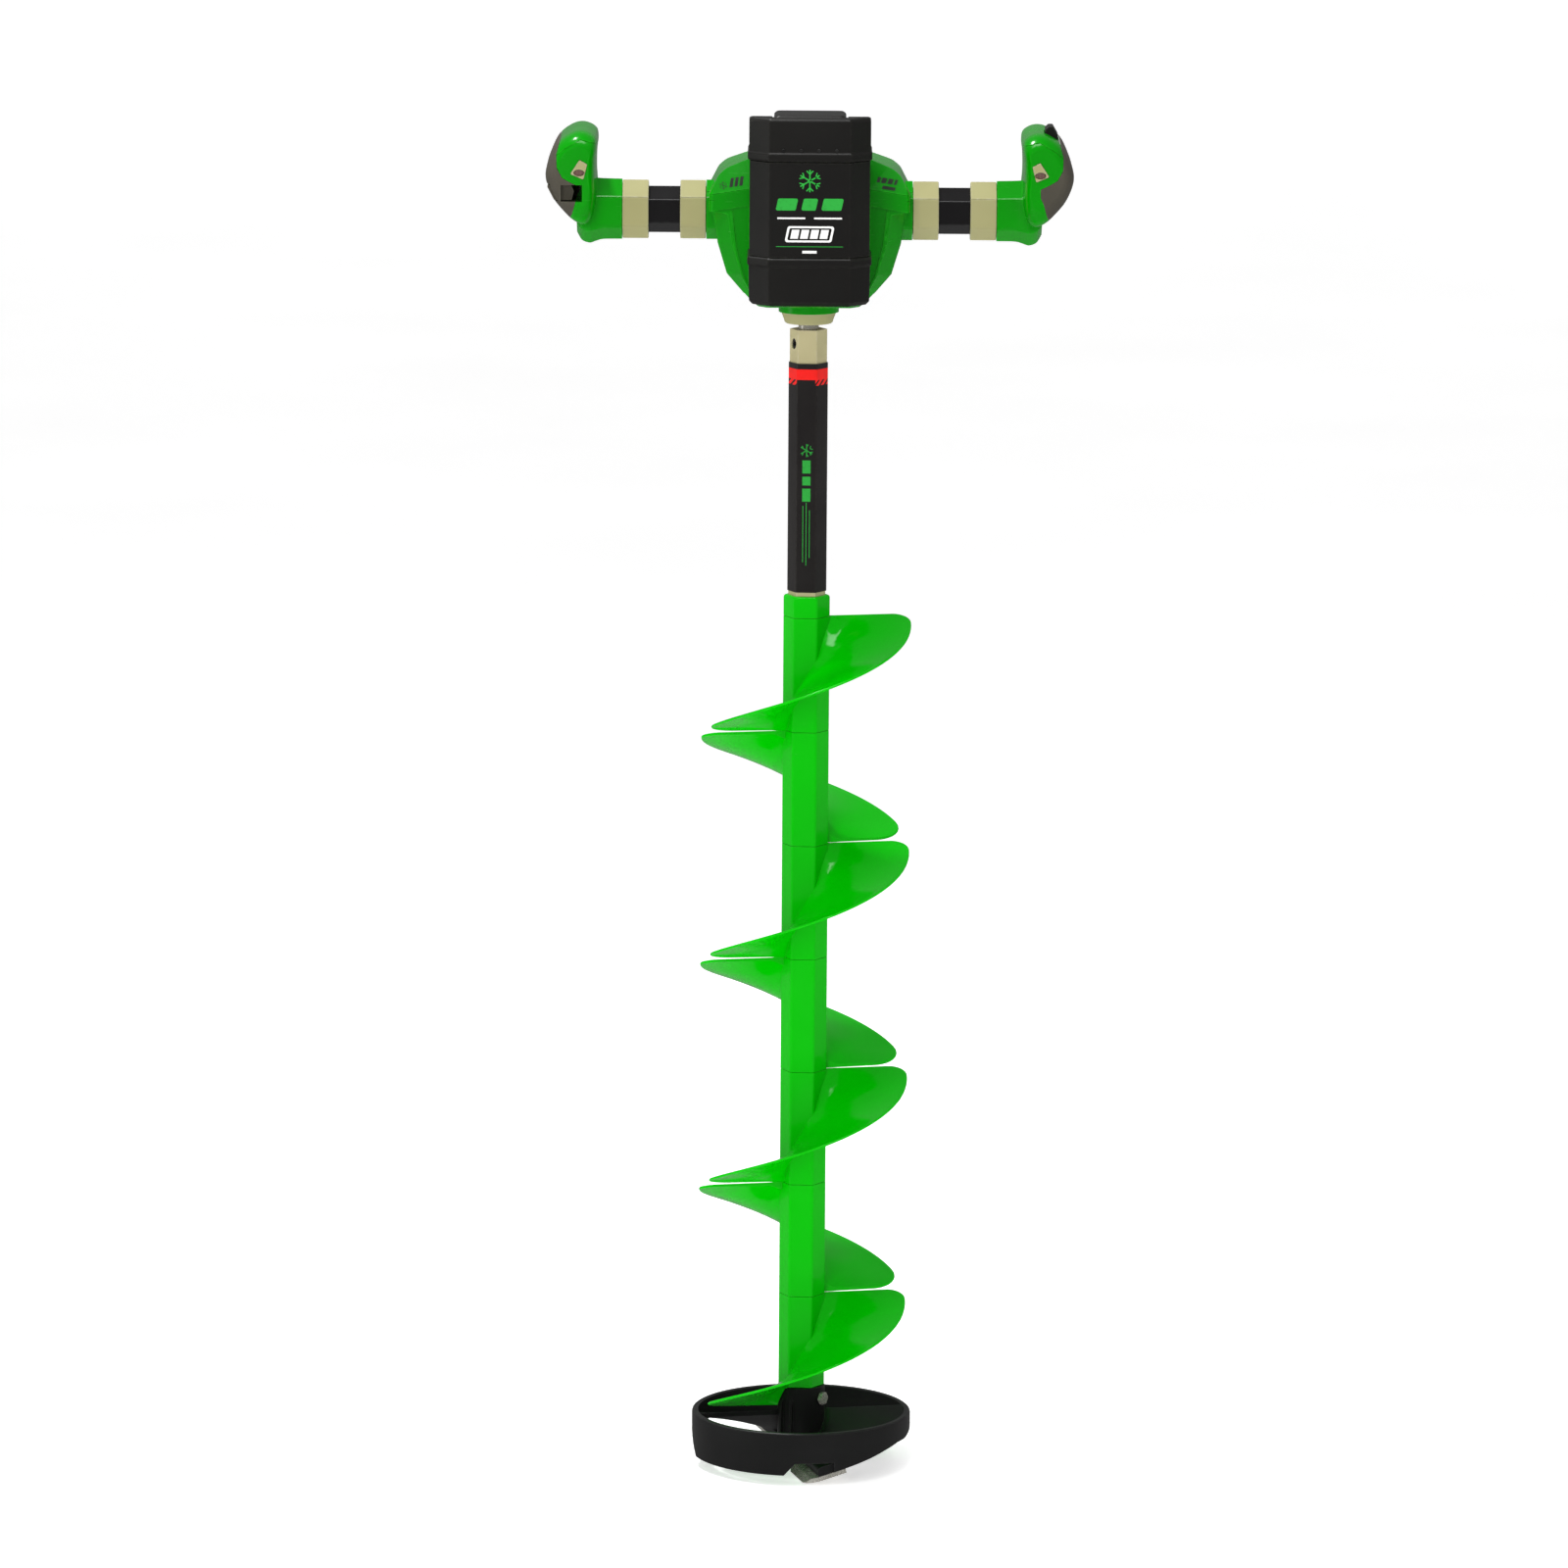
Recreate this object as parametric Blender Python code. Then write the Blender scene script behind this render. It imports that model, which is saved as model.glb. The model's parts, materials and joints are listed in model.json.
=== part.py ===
"""A battery ice-fishing auger, one named object for each piece it comes apart into.

Sizes are in millimetres in this file and become metres when a mesh is made. +Z is up, the drill turns
about Z through the origin, the origin is the point where the cutting edges touch the ice, and the
battery faces -Y.
"""

from math import atan2, cos, hypot, pi, radians, sin, sqrt, tan

import bmesh
import bpy
from mathutils import Matrix, Vector

MM = 0.001
GAP = 0.3  # clearance between two pieces that touch
SMOOTH_ANGLE = radians(32)

# Cutting head
RING_RADIUS = 101.5
RING_WALL = 6.0
RING_TOP = 49.0
HUB_RADIUS = 22.0
HUB_TOP = 72.7
HUB_BOTTOM = 20.0
HUB_BOLT_Z = 62.0
# azimuth and height of the ring's lower edge: low ahead of each blade, a notch over it, a ramp behind it
RING_EDGE = (
    (-180, 33.0), (-164, 9.0), (-99, 9.0), (-93, 20.5), (-72.5, 20.5), (-72.2, 11.6),
    (-64.5, 14.9), (-50, 20.7), (-40, 24.8), (-28, 28.5), (-18, 28.5), (0, 33.0),
    (22, 33.0), (34, 9.0), (81, 9.0), (87, 20.5), (107.5, 20.5), (107.8, 11.6),
    (115.5, 14.9), (130, 20.7), (140, 24.8), (152, 28.5), (162, 28.5), (180, 33.0),
)
RAMP_SWEEP = 73.0
RAMP_FALL = 27.5
RAMP_THICKNESS = 4.5
BLADE_AZIMUTHS = (-75.0, 105.0)
BLADE_TILT = 15.0
BLADE_THICKNESS = 4.0
BLADE_CHORD = (-22.0, 18.0)
BLADE_SCREW_REACH = (45.0, 78.0)
BLADE_SCREW_CHORD = 5.0
BLADE_REACH = (30.0, 99.0)
PAD_CHORD = (-8.0, 21.0)
PAD_REACH = (19.0, 98.0)
PAD_THICKNESS = 8.0
SCREW_HEAD = 2.6

# Flighting: equal half-turn mouldings threaded on a six-sided tube
SEGMENTS = 7
SEGMENT_HEIGHT = 106.0
FLIGHT_TOP = 795.3
FLIGHT_RADIUS = 96.5
FLIGHT_ROOT = 18.0
FLIGHT_THICKNESS = 3.2
FLIGHT_START = 12.0  # azimuth of the first joint line, in degrees
START_CORNER = 15.0  # radius of the sheet's outer corner at its upper end
END_CORNER = 29.0  # and at its lower end
SHEET_DISH = 3.0  # how far the sheet hangs at mid-width
DISH_RUN_IN = 25.0  # degrees from each end over which the dish grows
LAST_SLEEVE_BOTTOM = 73.0
CAP_TOP = 815.4
SLEEVE_HEX = 21.7
HEX_TURN = -4.0  # the six-sided tube is turned this far, in degrees

# Drive line
TUBE_HEX = 17.3
TUBE_WALL = 2.3
TUBE_TOP = 1060.5
TUBE_BOTTOM = 27.0
WRAP_BOTTOM = 819.0
WRAP_TOP = 1030.0
WRAP_HEX = 18.3
SHAFT_RADIUS = 9.3
COUPLER_HEIGHTS = (1021.0, 1059.5)
COUPLER_BOLT_Z = 1047.5
COUPLER_FACET = -154.0

# Powerhead
BAR_Z = 1169.3
BAR_HEX = 21.4
COLLAR_HEX = 27.3
COLLARS = (("inner", 94.2, 117.5), ("outer", 146.3, 170.1))
BAR_ENDS = (64.0, 202.0)
SHELL = 3.0
NOSE_TOP = 1076.5
NOSE_BOTTOM = 1066.0
HOUSING_FRONT = -46.0
# distance from the middle and height of the ridge line, where the shells part and the shoulders begin
RIDGE_OUTER = (91.0, 1187.5)
RIDGE_INNER = (54.0, 1193.3)
SHOULDER_RISE = 44.0
SHOULDER_LEAN = 19.0  # how far back the shoulder leans over that rise
# height, half width, front, back, chamfer of the front corners
HOUSING_SECTIONS = (
    (1084.0, 46.0, -37.0, 48.0, 8.0),
    (1088.0, 51.0, -43.0, 58.0, 10.0),
    (1093.0, 55.5, HOUSING_FRONT, 64.0, 12.0),
    (1104.0, 66.0, HOUSING_FRONT, 68.0, 13.5),
    (1114.0, 74.0, HOUSING_FRONT, 70.0, 13.5),
    (1142.0, 82.4, HOUSING_FRONT, 72.5, 13.5),
    (1170.5, 86.5, HOUSING_FRONT, 73.0, 13.5),
    (1172.0, 91.0, HOUSING_FRONT, 74.5, 4.0),
    (1188.0, 91.0, HOUSING_FRONT, 79.0, 4.0),
    (1204.5, 83.0, HOUSING_FRONT, 68.0, 4.0),
    (1211.0, 76.0, HOUSING_FRONT, 62.0, 4.0),
    (1219.4, 55.8, HOUSING_FRONT, 48.0, 4.0),
    (1228.0, 32.0, -38.0, 30.0, 4.0),
)

# Gear train: motor pinion to counter gear, counter pinion to output gear
BIG_TEETH = 36
SMALL_TEETH = 9
GEAR_MODULE = 4 / 3
COUNTER_Y = GEAR_MODULE * (BIG_TEETH + SMALL_TEETH) / 2

# name, bottom, top, outer radius
BEARINGS = (("bearing_lower", 1077.5, 1085.0, 18.0), ("bearing_upper", 1088.5, 1096.5, 16.0))
OUTPUT_SHAFT = (1031.0, 1110.5)
GEARBOX_FLOOR = 1097.0
GEARBOX_RIM = 1127.0
MOTOR_FOOT = 1131.3
MOTOR_TOP = 1192.0
GEARBOX_RADIUS = 26.2  # inside radius round each gear

# Battery
BATTERY_BACK = -49.0
BATTERY_FRONT = -125.0
BATTERY_HALF = 54.2
BATTERY_FACE_HALF = 36.5
BATTERY_BOTTOM = 1095.6
BATTERY_TOP = 1265.6
LOWER_CAP_TOP = 1139.5
MOUNT_HEIGHTS = (1097.0, 1216.0)
RAIL_HEIGHTS = (1099.0, 1214.0)
RAIL_X = 29.0
BATTERY_WALL_FRONT = -58.5  # inner side of the battery's thick back wall
UPPER_CAP_BOTTOM = 1226.2
LATCH_WELL = 9.3  # depth of the latch's well under the battery's top

# Handles, given for the side at +X
GRIP_CENTRE = (212.0, 1207.0)
GRIP_OUTLINE = (
    (194.4, 1203.0), (194.2, 1219.0), (193.0, 1231.0), (195.3, 1239.0), (205.0, 1243.8),
    (216.0, 1242.2), (228.6, 1233.0), (236.2, 1218.0), (239.6, 1206.0), (238.2, 1195.0),
    (232.4, 1182.0), (224.0, 1171.5), (214.0, 1162.0), (204.0, 1158.5), (196.5, 1166.0),
    (193.4, 1184.0),
)
# position along Y and share of the full outline
GRIP_STATIONS = (
    (-54.0, 0.64), (-51.5, 0.80), (-45.0, 0.93), (-35.0, 0.99), (-20.0, 1.0), (38.0, 1.0),
    (58.0, 0.98), (69.0, 0.90), (75.5, 0.76), (78.0, 0.60),
)
# position along X, height of the centre and corner radius of the six-sided neck
NECK_STATIONS = (
    (170.4, 1169.3, 28.2), (187.0, 1169.4, 28.5), (194.0, 1168.8, 29.6), (200.0, 1168.4, 31.0),
    (207.0, 1168.6, 28.6), (211.5, 1169.4, 22.0),
)
RUBBER_EDGE = (
    (225.6, 1239.0), (229.6, 1224.0), (229.0, 1212.0), (224.2, 1203.0), (217.3, 1199.0),
    (209.0, 1195.0), (209.2, 1187.0), (212.0, 1181.0), (215.0, 1170.0),
)
RUBBER_OUTSIDE = ((222.0, 1155.0), (262.0, 1155.0), (262.0, 1254.0), (232.0, 1254.0))
BEZEL = ((208.4, 1219.4), (201.4, 1215.4), (204.8, 1201.6), (216.7, 1206.6))
LENS_CENTRE = (208.8, 1207.6)
TRIGGER_PIVOT = (-219.5, -7.5)
TRIGGER_POCKET = (1181.0, 1196.5)
SWITCH_PIVOT = (219.2, -10.0, 1239.5)


# ---------------------------------------------------------------- finishes

FINISHES = {
    "green": ((0.002, 0.36, 0.004), 0.35, 0.0),
    "cream": ((0.42, 0.38, 0.22), 0.5, 0.0),
    "black": ((0.018, 0.018, 0.018), 0.45, 0.0),
    "rubber": ((0.11, 0.10, 0.09), 0.75, 0.0),
    "wrap": ((0.03, 0.03, 0.028), 0.4, 0.0),
    "aluminium": ((0.6, 0.6, 0.58), 0.35, 1.0),
    "steel": ((0.55, 0.54, 0.52), 0.25, 1.0),
    "dark_steel": ((0.08, 0.08, 0.08), 0.4, 1.0),
    "board": ((0.02, 0.14, 0.05), 0.5, 0.0),
    "cells": ((0.1, 0.2, 0.5), 0.4, 0.0),
    "lens": ((0.12, 0.09, 0.07), 0.1, 0.0),
}


def finish(name):
    """The material of that name, made once."""
    material = bpy.data.materials.get(name)
    if material:
        return material
    color, roughness, metallic = FINISHES[name]
    material = bpy.data.materials.new(name)
    material.use_nodes = True
    shader = material.node_tree.nodes["Principled BSDF"]
    shader.inputs["Base Color"].default_value = (*color, 1.0)
    shader.inputs["Roughness"].default_value = roughness
    shader.inputs["Metallic"].default_value = metallic
    return material


# ---------------------------------------------------------------- outlines


def circle(radius, steps, centre=(0.0, 0.0)):
    """Points round a circle, counterclockwise."""
    angles = [2 * pi * k / steps for k in range(steps)]
    return [(centre[0] + radius * cos(a), centre[1] + radius * sin(a)) for a in angles]


def rounded(corners, radius, steps=2):
    """The outline of a convex or concave polygon with its corners rounded by arcs."""
    outline = []
    count = len(corners)
    for i, point in enumerate(corners):
        corner = Vector(point)
        before = Vector(corners[i - 1]) - corner
        after = Vector(corners[(i + 1) % count]) - corner
        half = before.angle(after) / 2
        reach = min(radius / tan(half), 0.45 * min(before.length, after.length))
        middle = (before.normalized() + after.normalized()).normalized()
        centre = corner + middle * (reach / cos(half))
        first = corner + before.normalized() * reach - centre
        last = corner + after.normalized() * reach - centre
        turn = atan2(first.x * last.y - first.y * last.x, first.dot(last))
        for k in range(steps + 1):
            spoke = Matrix.Rotation(turn * k / steps, 2) @ first
            outline.append((centre.x + spoke.x, centre.y + spoke.y))
    return outline


def hexagon(corner_radius, turn=0.0, rounding=0.0, centre=(0.0, 0.0)):
    """A hexagon, with its corners rounded where rounding is given. turn is in degrees."""
    angles = [radians(turn + 60 * k) for k in range(6)]
    corners = [(centre[0] + corner_radius * cos(a), centre[1] + corner_radius * sin(a)) for a in angles]
    return rounded(corners, rounding) if rounding else corners


def smooth_loop(points, per_span):
    """A closed Catmull-Rom curve through the points."""
    loop = []
    count = len(points)
    for i in range(count):
        p0, p1, p2, p3 = (Vector(points[(i + k) % count]) for k in (-1, 0, 1, 2))
        for k in range(per_span):
            t = k / per_span
            point = 0.5 * (
                2 * p1 + (p2 - p0) * t + (2 * p0 - 5 * p1 + 4 * p2 - p3) * t**2
                + (3 * p1 - p0 - 3 * p2 + p3) * t**3
            )
            loop.append((point.x, point.y))
    return loop


def gear_outline(teeth, phase, centre=(0.0, 0.0)):
    """Straight-sided teeth. phase is the angle in degrees of one tooth's middle."""
    pitch_radius = GEAR_MODULE * teeth / 2
    root = pitch_radius - 1.1 * GEAR_MODULE
    tip = pitch_radius + 0.75 * GEAR_MODULE
    pitch = 2 * pi / teeth
    outline = []
    for k in range(teeth):
        middle = radians(phase) + k * pitch
        for radius, share in ((root, -0.3), (tip, -0.12), (tip, 0.12), (root, 0.3)):
            angle = middle + share * pitch
            outline.append((centre[0] + radius * cos(angle), centre[1] + radius * sin(angle)))
    return outline


# ---------------------------------------------------------------- solids


def at(axis, u, v, w):
    """A point from its place (u, v) in the plane across an axis, and its place w along the axis."""
    return {"X": (w, u, v), "Y": (u, w, v), "Z": (u, v, w)}[axis]


def make(name, bm, finish_name, pivot=(0.0, 0.0, 0.0)):
    """An object from a mesh in millimetres. Its origin is the pivot."""
    bmesh.ops.recalc_face_normals(bm, faces=bm.faces)
    bmesh.ops.translate(bm, verts=bm.verts, vec=-Vector(pivot))
    bmesh.ops.scale(bm, verts=bm.verts, vec=(MM, MM, MM))
    mesh = bpy.data.meshes.new(name)
    bm.to_mesh(mesh)
    bm.free()
    mesh.materials.append(finish(finish_name))
    mesh.shade_smooth()
    mesh.set_sharp_from_angle(angle=SMOOTH_ANGLE)
    obj = bpy.data.objects.new(name, mesh)
    obj.location = Vector(pivot) * MM
    bpy.context.scene.collection.objects.link(obj)
    return obj


def skin(bm, rings, closed=False):
    """Faces between rings of points, which all have the same count. An open run is capped."""
    loops = [[bm.verts.new(p) for p in ring] for ring in rings]
    pairs = list(zip(loops, loops[1:]))
    if closed:
        pairs.append((loops[-1], loops[0]))
    for low, high in pairs:
        for i in range(len(low)):
            j = (i + 1) % len(low)
            bm.faces.new((low[i], low[j], high[j], high[i]))
    if not closed:
        bm.faces.new(loops[0])
        bm.faces.new(loops[-1])


def loft(name, rings, finish_name, closed=False):
    """A solid skinned over rings of 3-D points."""
    bm = bmesh.new()
    skin(bm, rings, closed)
    return make(name, bm, finish_name)


def prism(name, outline, axis, low, high, finish_name="black"):
    """An outline pushed along an axis from low to high."""
    rings = [[at(axis, u, v, w) for u, v in outline] for w in (low, high)]
    return loft(name, rings, finish_name)


def sleeve(name, outer, inner, axis, low, high, finish_name):
    """A tube between two outlines with the same number of points."""
    rings = [
        [at(axis, *p, w) for p in outline]
        for outline, w in ((outer, low), (outer, high), (inner, high), (inner, low))
    ]
    return loft(name, rings, finish_name, closed=True)


def turned(name, profile, finish_name, steps=28):
    """A ring or a hollow turned about Z from a closed profile of (radius, height) points."""
    bm = bmesh.new()
    rings = []
    for k in range(steps):
        angle = 2 * pi * k / steps
        rings.append([(r * cos(angle), r * sin(angle), z) for r, z in profile])
    skin(bm, rings, closed=True)
    return make(name, bm, finish_name)


def rod(name, start, direction, length, radius, steps=20, finish_name="dark_steel"):
    """A round bar from a start point along a direction."""
    axis = Vector(direction).normalized()
    side = axis.orthogonal().normalized()
    other = axis.cross(side)
    rings = []
    for reach in (0.0, length):
        centre = Vector(start) + axis * reach
        rings.append([
            centre + radius * (side * cos(2 * pi * k / steps) + other * sin(2 * pi * k / steps))
            for k in range(steps)
        ])
    return loft(name, rings, finish_name)


def combine(target, tools, operation):
    """Joins tools to the target, cuts them from it or keeps what they share, and removes the tools."""
    for tool in tools:
        modifier = target.modifiers.new(operation, "BOOLEAN")
        modifier.operation = operation
        modifier.object = tool
        modifier.solver = "EXACT"
    bpy.context.view_layer.update()
    shape = target.evaluated_get(bpy.context.evaluated_depsgraph_get())
    mesh = bpy.data.meshes.new_from_object(shape)
    target.modifiers.clear()
    material = target.data.materials[0]
    target.data = mesh
    mesh.materials.clear()
    mesh.materials.append(material)
    mesh.shade_smooth()
    mesh.set_sharp_from_angle(angle=SMOOTH_ANGLE)
    for tool in tools:
        bpy.data.objects.remove(tool)
    return target


def join(target, *tools):
    """Unites the target with the tools, which are used up."""
    return combine(target, tools, "UNION")


def cut(target, *tools):
    """Takes the tools away from the target."""
    return combine(target, tools, "DIFFERENCE")


def keep(target, *tools):
    """Keeps only what the target shares with the tools."""
    return combine(target, tools, "INTERSECT")


def box(name, low, high, finish_name="black", rounding=0.0):
    """A block between two corners, with upright edges rounded where rounding is given."""
    corners = [(low[0], low[1]), (high[0], low[1]), (high[0], high[1]), (low[0], high[1])]
    outline = rounded(corners, rounding) if rounding else corners
    return prism(name, outline, "Z", low[2], high[2], finish_name)


def polar(azimuth, radius, z=0.0):
    """A point at that azimuth, in degrees, and radius."""
    return Vector((radius * cos(radians(azimuth)), radius * sin(radians(azimuth)), z))


# ---------------------------------------------------------------- flighting


def corner_pull(distance, radius):
    """How far the outer edge draws in for a round corner, at that distance along it from the end."""
    if distance >= radius:
        return 0.0
    return radius - sqrt(radius**2 - (radius - distance) ** 2)


def sheet_stations():
    """Angles along a half turn from its start, in degrees, closer together at the round corners."""
    edge = 180 / pi / FLIGHT_RADIUS
    shares = (0.03, 0.15, 0.45, 1.0)
    starts = [share * START_CORNER * edge for share in shares]
    ends = [180 - share * END_CORNER * edge for share in reversed(shares)]
    spans = 14
    inner = [starts[-1] + k * (ends[0] - starts[-1]) / spans for k in range(1, spans)]
    return starts + inner + ends


def sheet_tip(turned_by):
    """The sheet's outer radius where it has turned by that angle."""
    from_start = radians(turned_by) * FLIGHT_RADIUS
    from_end = radians(180 - turned_by) * FLIGHT_RADIUS
    return FLIGHT_RADIUS - corner_pull(from_start, START_CORNER) - corner_pull(from_end, END_CORNER)


def sheet_ring(turned_by, z, root):
    """The closed section of the sheet where it has turned by that angle: top side out, bottom back."""
    tip = sheet_tip(turned_by)
    dish_share = min(1.0, min(turned_by, 180 - turned_by) / DISH_RUN_IN)
    top, bottom = [], []
    for share in (0.0, 0.5, 1.0):
        radius = root + share * (tip - root)
        dish = -SHEET_DISH * dish_share * sin(pi * share)
        thick = FLIGHT_THICKNESS - 0.8 * share
        top.append(polar(-turned_by, radius, z + dish))
        bottom.append(polar(-turned_by, radius, z + dish - thick))
    return top + bottom[::-1]


def flight_sheet(name, top):
    """A half turn of the screw sheet, falling clockwise from its top, clear of the hub at its foot."""
    drop = SEGMENT_HEIGHT - FLIGHT_THICKNESS - 2 * GAP
    rings = []
    for angle in sheet_stations():
        z = top - GAP - drop * angle / 180
        beside_hub = z - FLIGHT_THICKNESS - SHEET_DISH < HUB_TOP + GAP
        rings.append(sheet_ring(angle, z, HUB_RADIUS + 1.0 if beside_hub else FLIGHT_ROOT))
    return loft(name, rings, "green")


def flight(index):
    """One moulding of the screw: a six-sided sleeve with a half turn of sheet."""
    top = FLIGHT_TOP - index * SEGMENT_HEIGHT
    bottom = LAST_SLEEVE_BOTTOM if index == SEGMENTS - 1 else top - SEGMENT_HEIGHT + GAP
    start = FLIGHT_START + 180 * index
    outer = hexagon(SLEEVE_HEX, HEX_TURN - start, 3.0)
    inner = hexagon(TUBE_HEX + GAP, HEX_TURN - start, 0.6)
    body = sleeve(f"flight_{index + 1}", outer, inner, "Z", bottom, top, "green")
    join(body, flight_sheet("sheet", top))
    body.rotation_euler.z = radians(start)
    return body


def flight_cap():
    """The closing ring on top of the screw's mouldings, with a rounded upper edge."""
    outer = [hexagon(SLEEVE_HEX - d, HEX_TURN, 3.0) for d in (0.0, 0.0, 0.7, 2.2)]
    heights = (FLIGHT_TOP + GAP, CAP_TOP - 2.2, CAP_TOP - 0.7, CAP_TOP)
    inner = hexagon(TUBE_HEX + GAP, HEX_TURN, 0.6)
    rings = [[(*p, z) for p in ring] for ring, z in zip(outer, heights)]
    rings += [[(*p, z) for p in inner] for z in (CAP_TOP, FLIGHT_TOP + GAP)]
    return loft("flight_cap", rings, "green", closed=True)


# ---------------------------------------------------------------- cutting head


def ring_bottom(azimuth):
    """Height of the ring's lower edge at an azimuth from -180 to 180."""
    for (a0, z0), (a1, z1) in zip(RING_EDGE, RING_EDGE[1:]):
        if a0 <= azimuth <= a1:
            return z0 + (z1 - z0) * (azimuth - a0) / (a1 - a0)


def carrier_ring():
    """The round guard, with its stepped lower edge."""
    azimuths = sorted({-180 + 9 * k for k in range(40)} | {a for a, _ in RING_EDGE if a < 180})
    inner = RING_RADIUS - RING_WALL
    rings = []
    for a in azimuths:
        z = ring_bottom(a)
        profile = (
            (RING_RADIUS, z), (RING_RADIUS, RING_TOP - 1.5), (RING_RADIUS - 1.5, RING_TOP),
            (inner, RING_TOP), (inner, z),
        )
        rings.append([polar(a, r, h) for r, h in profile])
    return loft("blade_carrier", rings, "black", closed=True)


def ramp(start):
    """A sloping web that carries chips from a blade up to the screw. start is its upper azimuth."""
    rings = []
    steps = 12
    inner, outer = HUB_RADIUS - 3, RING_RADIUS - 4
    for k in range(steps + 1):
        azimuth = start - RAMP_SWEEP * k / steps
        z = RING_TOP - 0.6 - RAMP_FALL * k / steps
        low = z - RAMP_THICKNESS
        rings.append([polar(azimuth, r, h) for r, h in ((inner, z), (outer, z), (outer, low), (inner, low))])
    return loft("ramp", rings, "black")


def blade_frame(azimuth):
    """Turns blade coordinates (reach, chord, height) into the auger's. The leading edge is at -chord."""
    lean = Matrix.Rotation(radians(BLADE_TILT), 4, "X")
    lift = Matrix.Translation((0.0, 0.0, -BLADE_CHORD[0] * sin(radians(BLADE_TILT)) + 0.02))
    return Matrix.Rotation(radians(azimuth), 4, "Z") @ lift @ lean


def blade_block(name, azimuth, reach, chord, height, finish_name):
    """A block in blade coordinates."""
    frame = blade_frame(azimuth)
    rings = []
    for c in chord:
        corners = ((reach[0], height[0]), (reach[1], height[0]), (reach[1], height[1]), (reach[0], height[1]))
        rings.append([frame @ Vector((r, c, h)) for r, h in corners])
    return loft(name, rings, finish_name)


def screw_places(azimuth):
    """Start point and direction of the two screws of a blade."""
    frame = blade_frame(azimuth)
    axis = frame.to_3x3() @ Vector((0.0, 0.0, 1.0))
    return [(frame @ Vector((reach, BLADE_SCREW_CHORD, 0.0)), axis) for reach in BLADE_SCREW_REACH]


def blade(number, azimuth):
    """A flat steel cutter with a ground leading edge, a round outer corner and two screw holes."""
    frame = blade_frame(azimuth)
    lead, trail = BLADE_CHORD
    inner, outer = BLADE_REACH
    t = BLADE_THICKNESS
    # chord, top, how far the ends draw in
    stations = (
        (lead, 0.5, 13.0), (lead + 2.5, 1.6, 7.0), (lead + 7.0, t, 2.5), (lead + 13.0, t, 0.0),
        (trail, t, 0.0),
    )
    rings = []
    for c, high, pull in stations:
        low_corners = ((inner + pull, 0.0), (outer - pull, 0.0))
        corners = (*low_corners, (outer - pull, high), (inner + pull, high))
        rings.append([frame @ Vector((r, c, h)) for r, h in corners])
    plate = loft(f"blade_{number}", rings, "steel")
    holes = [rod("hole", p - axis * 3, axis, 9.0, 2.7) for p, axis in screw_places(azimuth)]
    return cut(plate, *holes)


def blade_screw(number, place):
    """A round-headed screw through the carrier's pad and the blade."""
    start, axis = place
    pad_top = BLADE_THICKNESS + GAP + PAD_THICKNESS
    screw = rod(f"blade_screw_{number}", start + axis * 0.4, axis, pad_top + 1.5, 2.3, 14)
    return join(screw, rod("head", start + axis * (pad_top + GAP), axis, SCREW_HEAD, 4.6, 18))


def blade_carrier():
    """Ring, hub, two ramps and the pads that the blades are screwed to, as one casting."""
    body = carrier_ring()
    hub = prism("hub", circle(HUB_RADIUS, 28), "Z", HUB_BOTTOM, HUB_TOP)
    pads = []
    holes = []
    for azimuth in BLADE_AZIMUTHS:
        height = (BLADE_THICKNESS + GAP, BLADE_THICKNESS + GAP + PAD_THICKNESS)
        pads.append(blade_block("pad", azimuth, PAD_REACH, PAD_CHORD, height, "black"))
        for p, axis in screw_places(azimuth):
            holes.append(rod("hole", p, axis, 18.0, 2.7))
    join(body, hub, ramp(FLIGHT_START), ramp(FLIGHT_START + 180), *pads)
    bore = prism("bore", hexagon(TUBE_HEX + GAP, HEX_TURN, 0.6), "Z", TUBE_BOTTOM - GAP, HUB_TOP + 5)
    pilot = prism("pilot", circle(6.3, 24), "Z", 0, TUBE_BOTTOM + 2)
    direction = polar(HEX_TURN - 30, 1.0)
    bolt = rod("bolt", polar(HEX_TURN - 30, -40, HUB_BOLT_Z), direction, 80, 3.8)
    return cut(body, bore, pilot, bolt, *holes)


def pilot_point():
    """The centre spike that keeps the drill from walking."""
    rings = [[(*p, z) for p in circle(r, 20)] for r, z in ((0.5, 1.0), (6.0, 14.0), (6.0, 30.0))]
    return loft("pilot_point", rings, "steel")


def hub_bolt():
    """The bolt that pins the drill head to the six-sided tube."""
    azimuth = HEX_TURN - 30
    direction = polar(azimuth, 1.0)
    shank = rod("hub_bolt", polar(azimuth, -30, HUB_BOLT_Z), direction, 54, 3.4)
    rings = []
    side = Vector((-direction.y, direction.x, 0.0))
    for reach in (HUB_RADIUS + GAP, HUB_RADIUS + 4.3):
        centre = polar(azimuth, reach, HUB_BOLT_Z)
        rings.append([centre + 6.2 * (side * u + Vector((0, 0, 1)) * v) for u, v in hexagon(1.0)])
    return join(shank, loft("head", rings, "steel"))


def hub_nut():
    """The nut at the other end of that bolt."""
    azimuth = HEX_TURN + 150
    direction = polar(azimuth, 1.0)
    side = Vector((-direction.y, direction.x, 0.0))
    outer = hexagon(6.2, 0.0, 0.3)
    inner = circle(3.7, len(outer))
    rings = []
    for outline, reach in ((outer, 22.3), (outer, 27.0), (inner, 27.0), (inner, 22.3)):
        centre = polar(azimuth, reach, HUB_BOLT_Z)
        rings.append([centre + side * u + Vector((0, 0, 1)) * v for u, v in outline])
    return loft("hub_nut", rings, "steel", closed=True)


# ---------------------------------------------------------------- drive line


def inner_hex(outer, wall):
    """Corner radius of the inside of a six-sided tube with that wall."""
    return outer - wall / cos(pi / 6)


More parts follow.
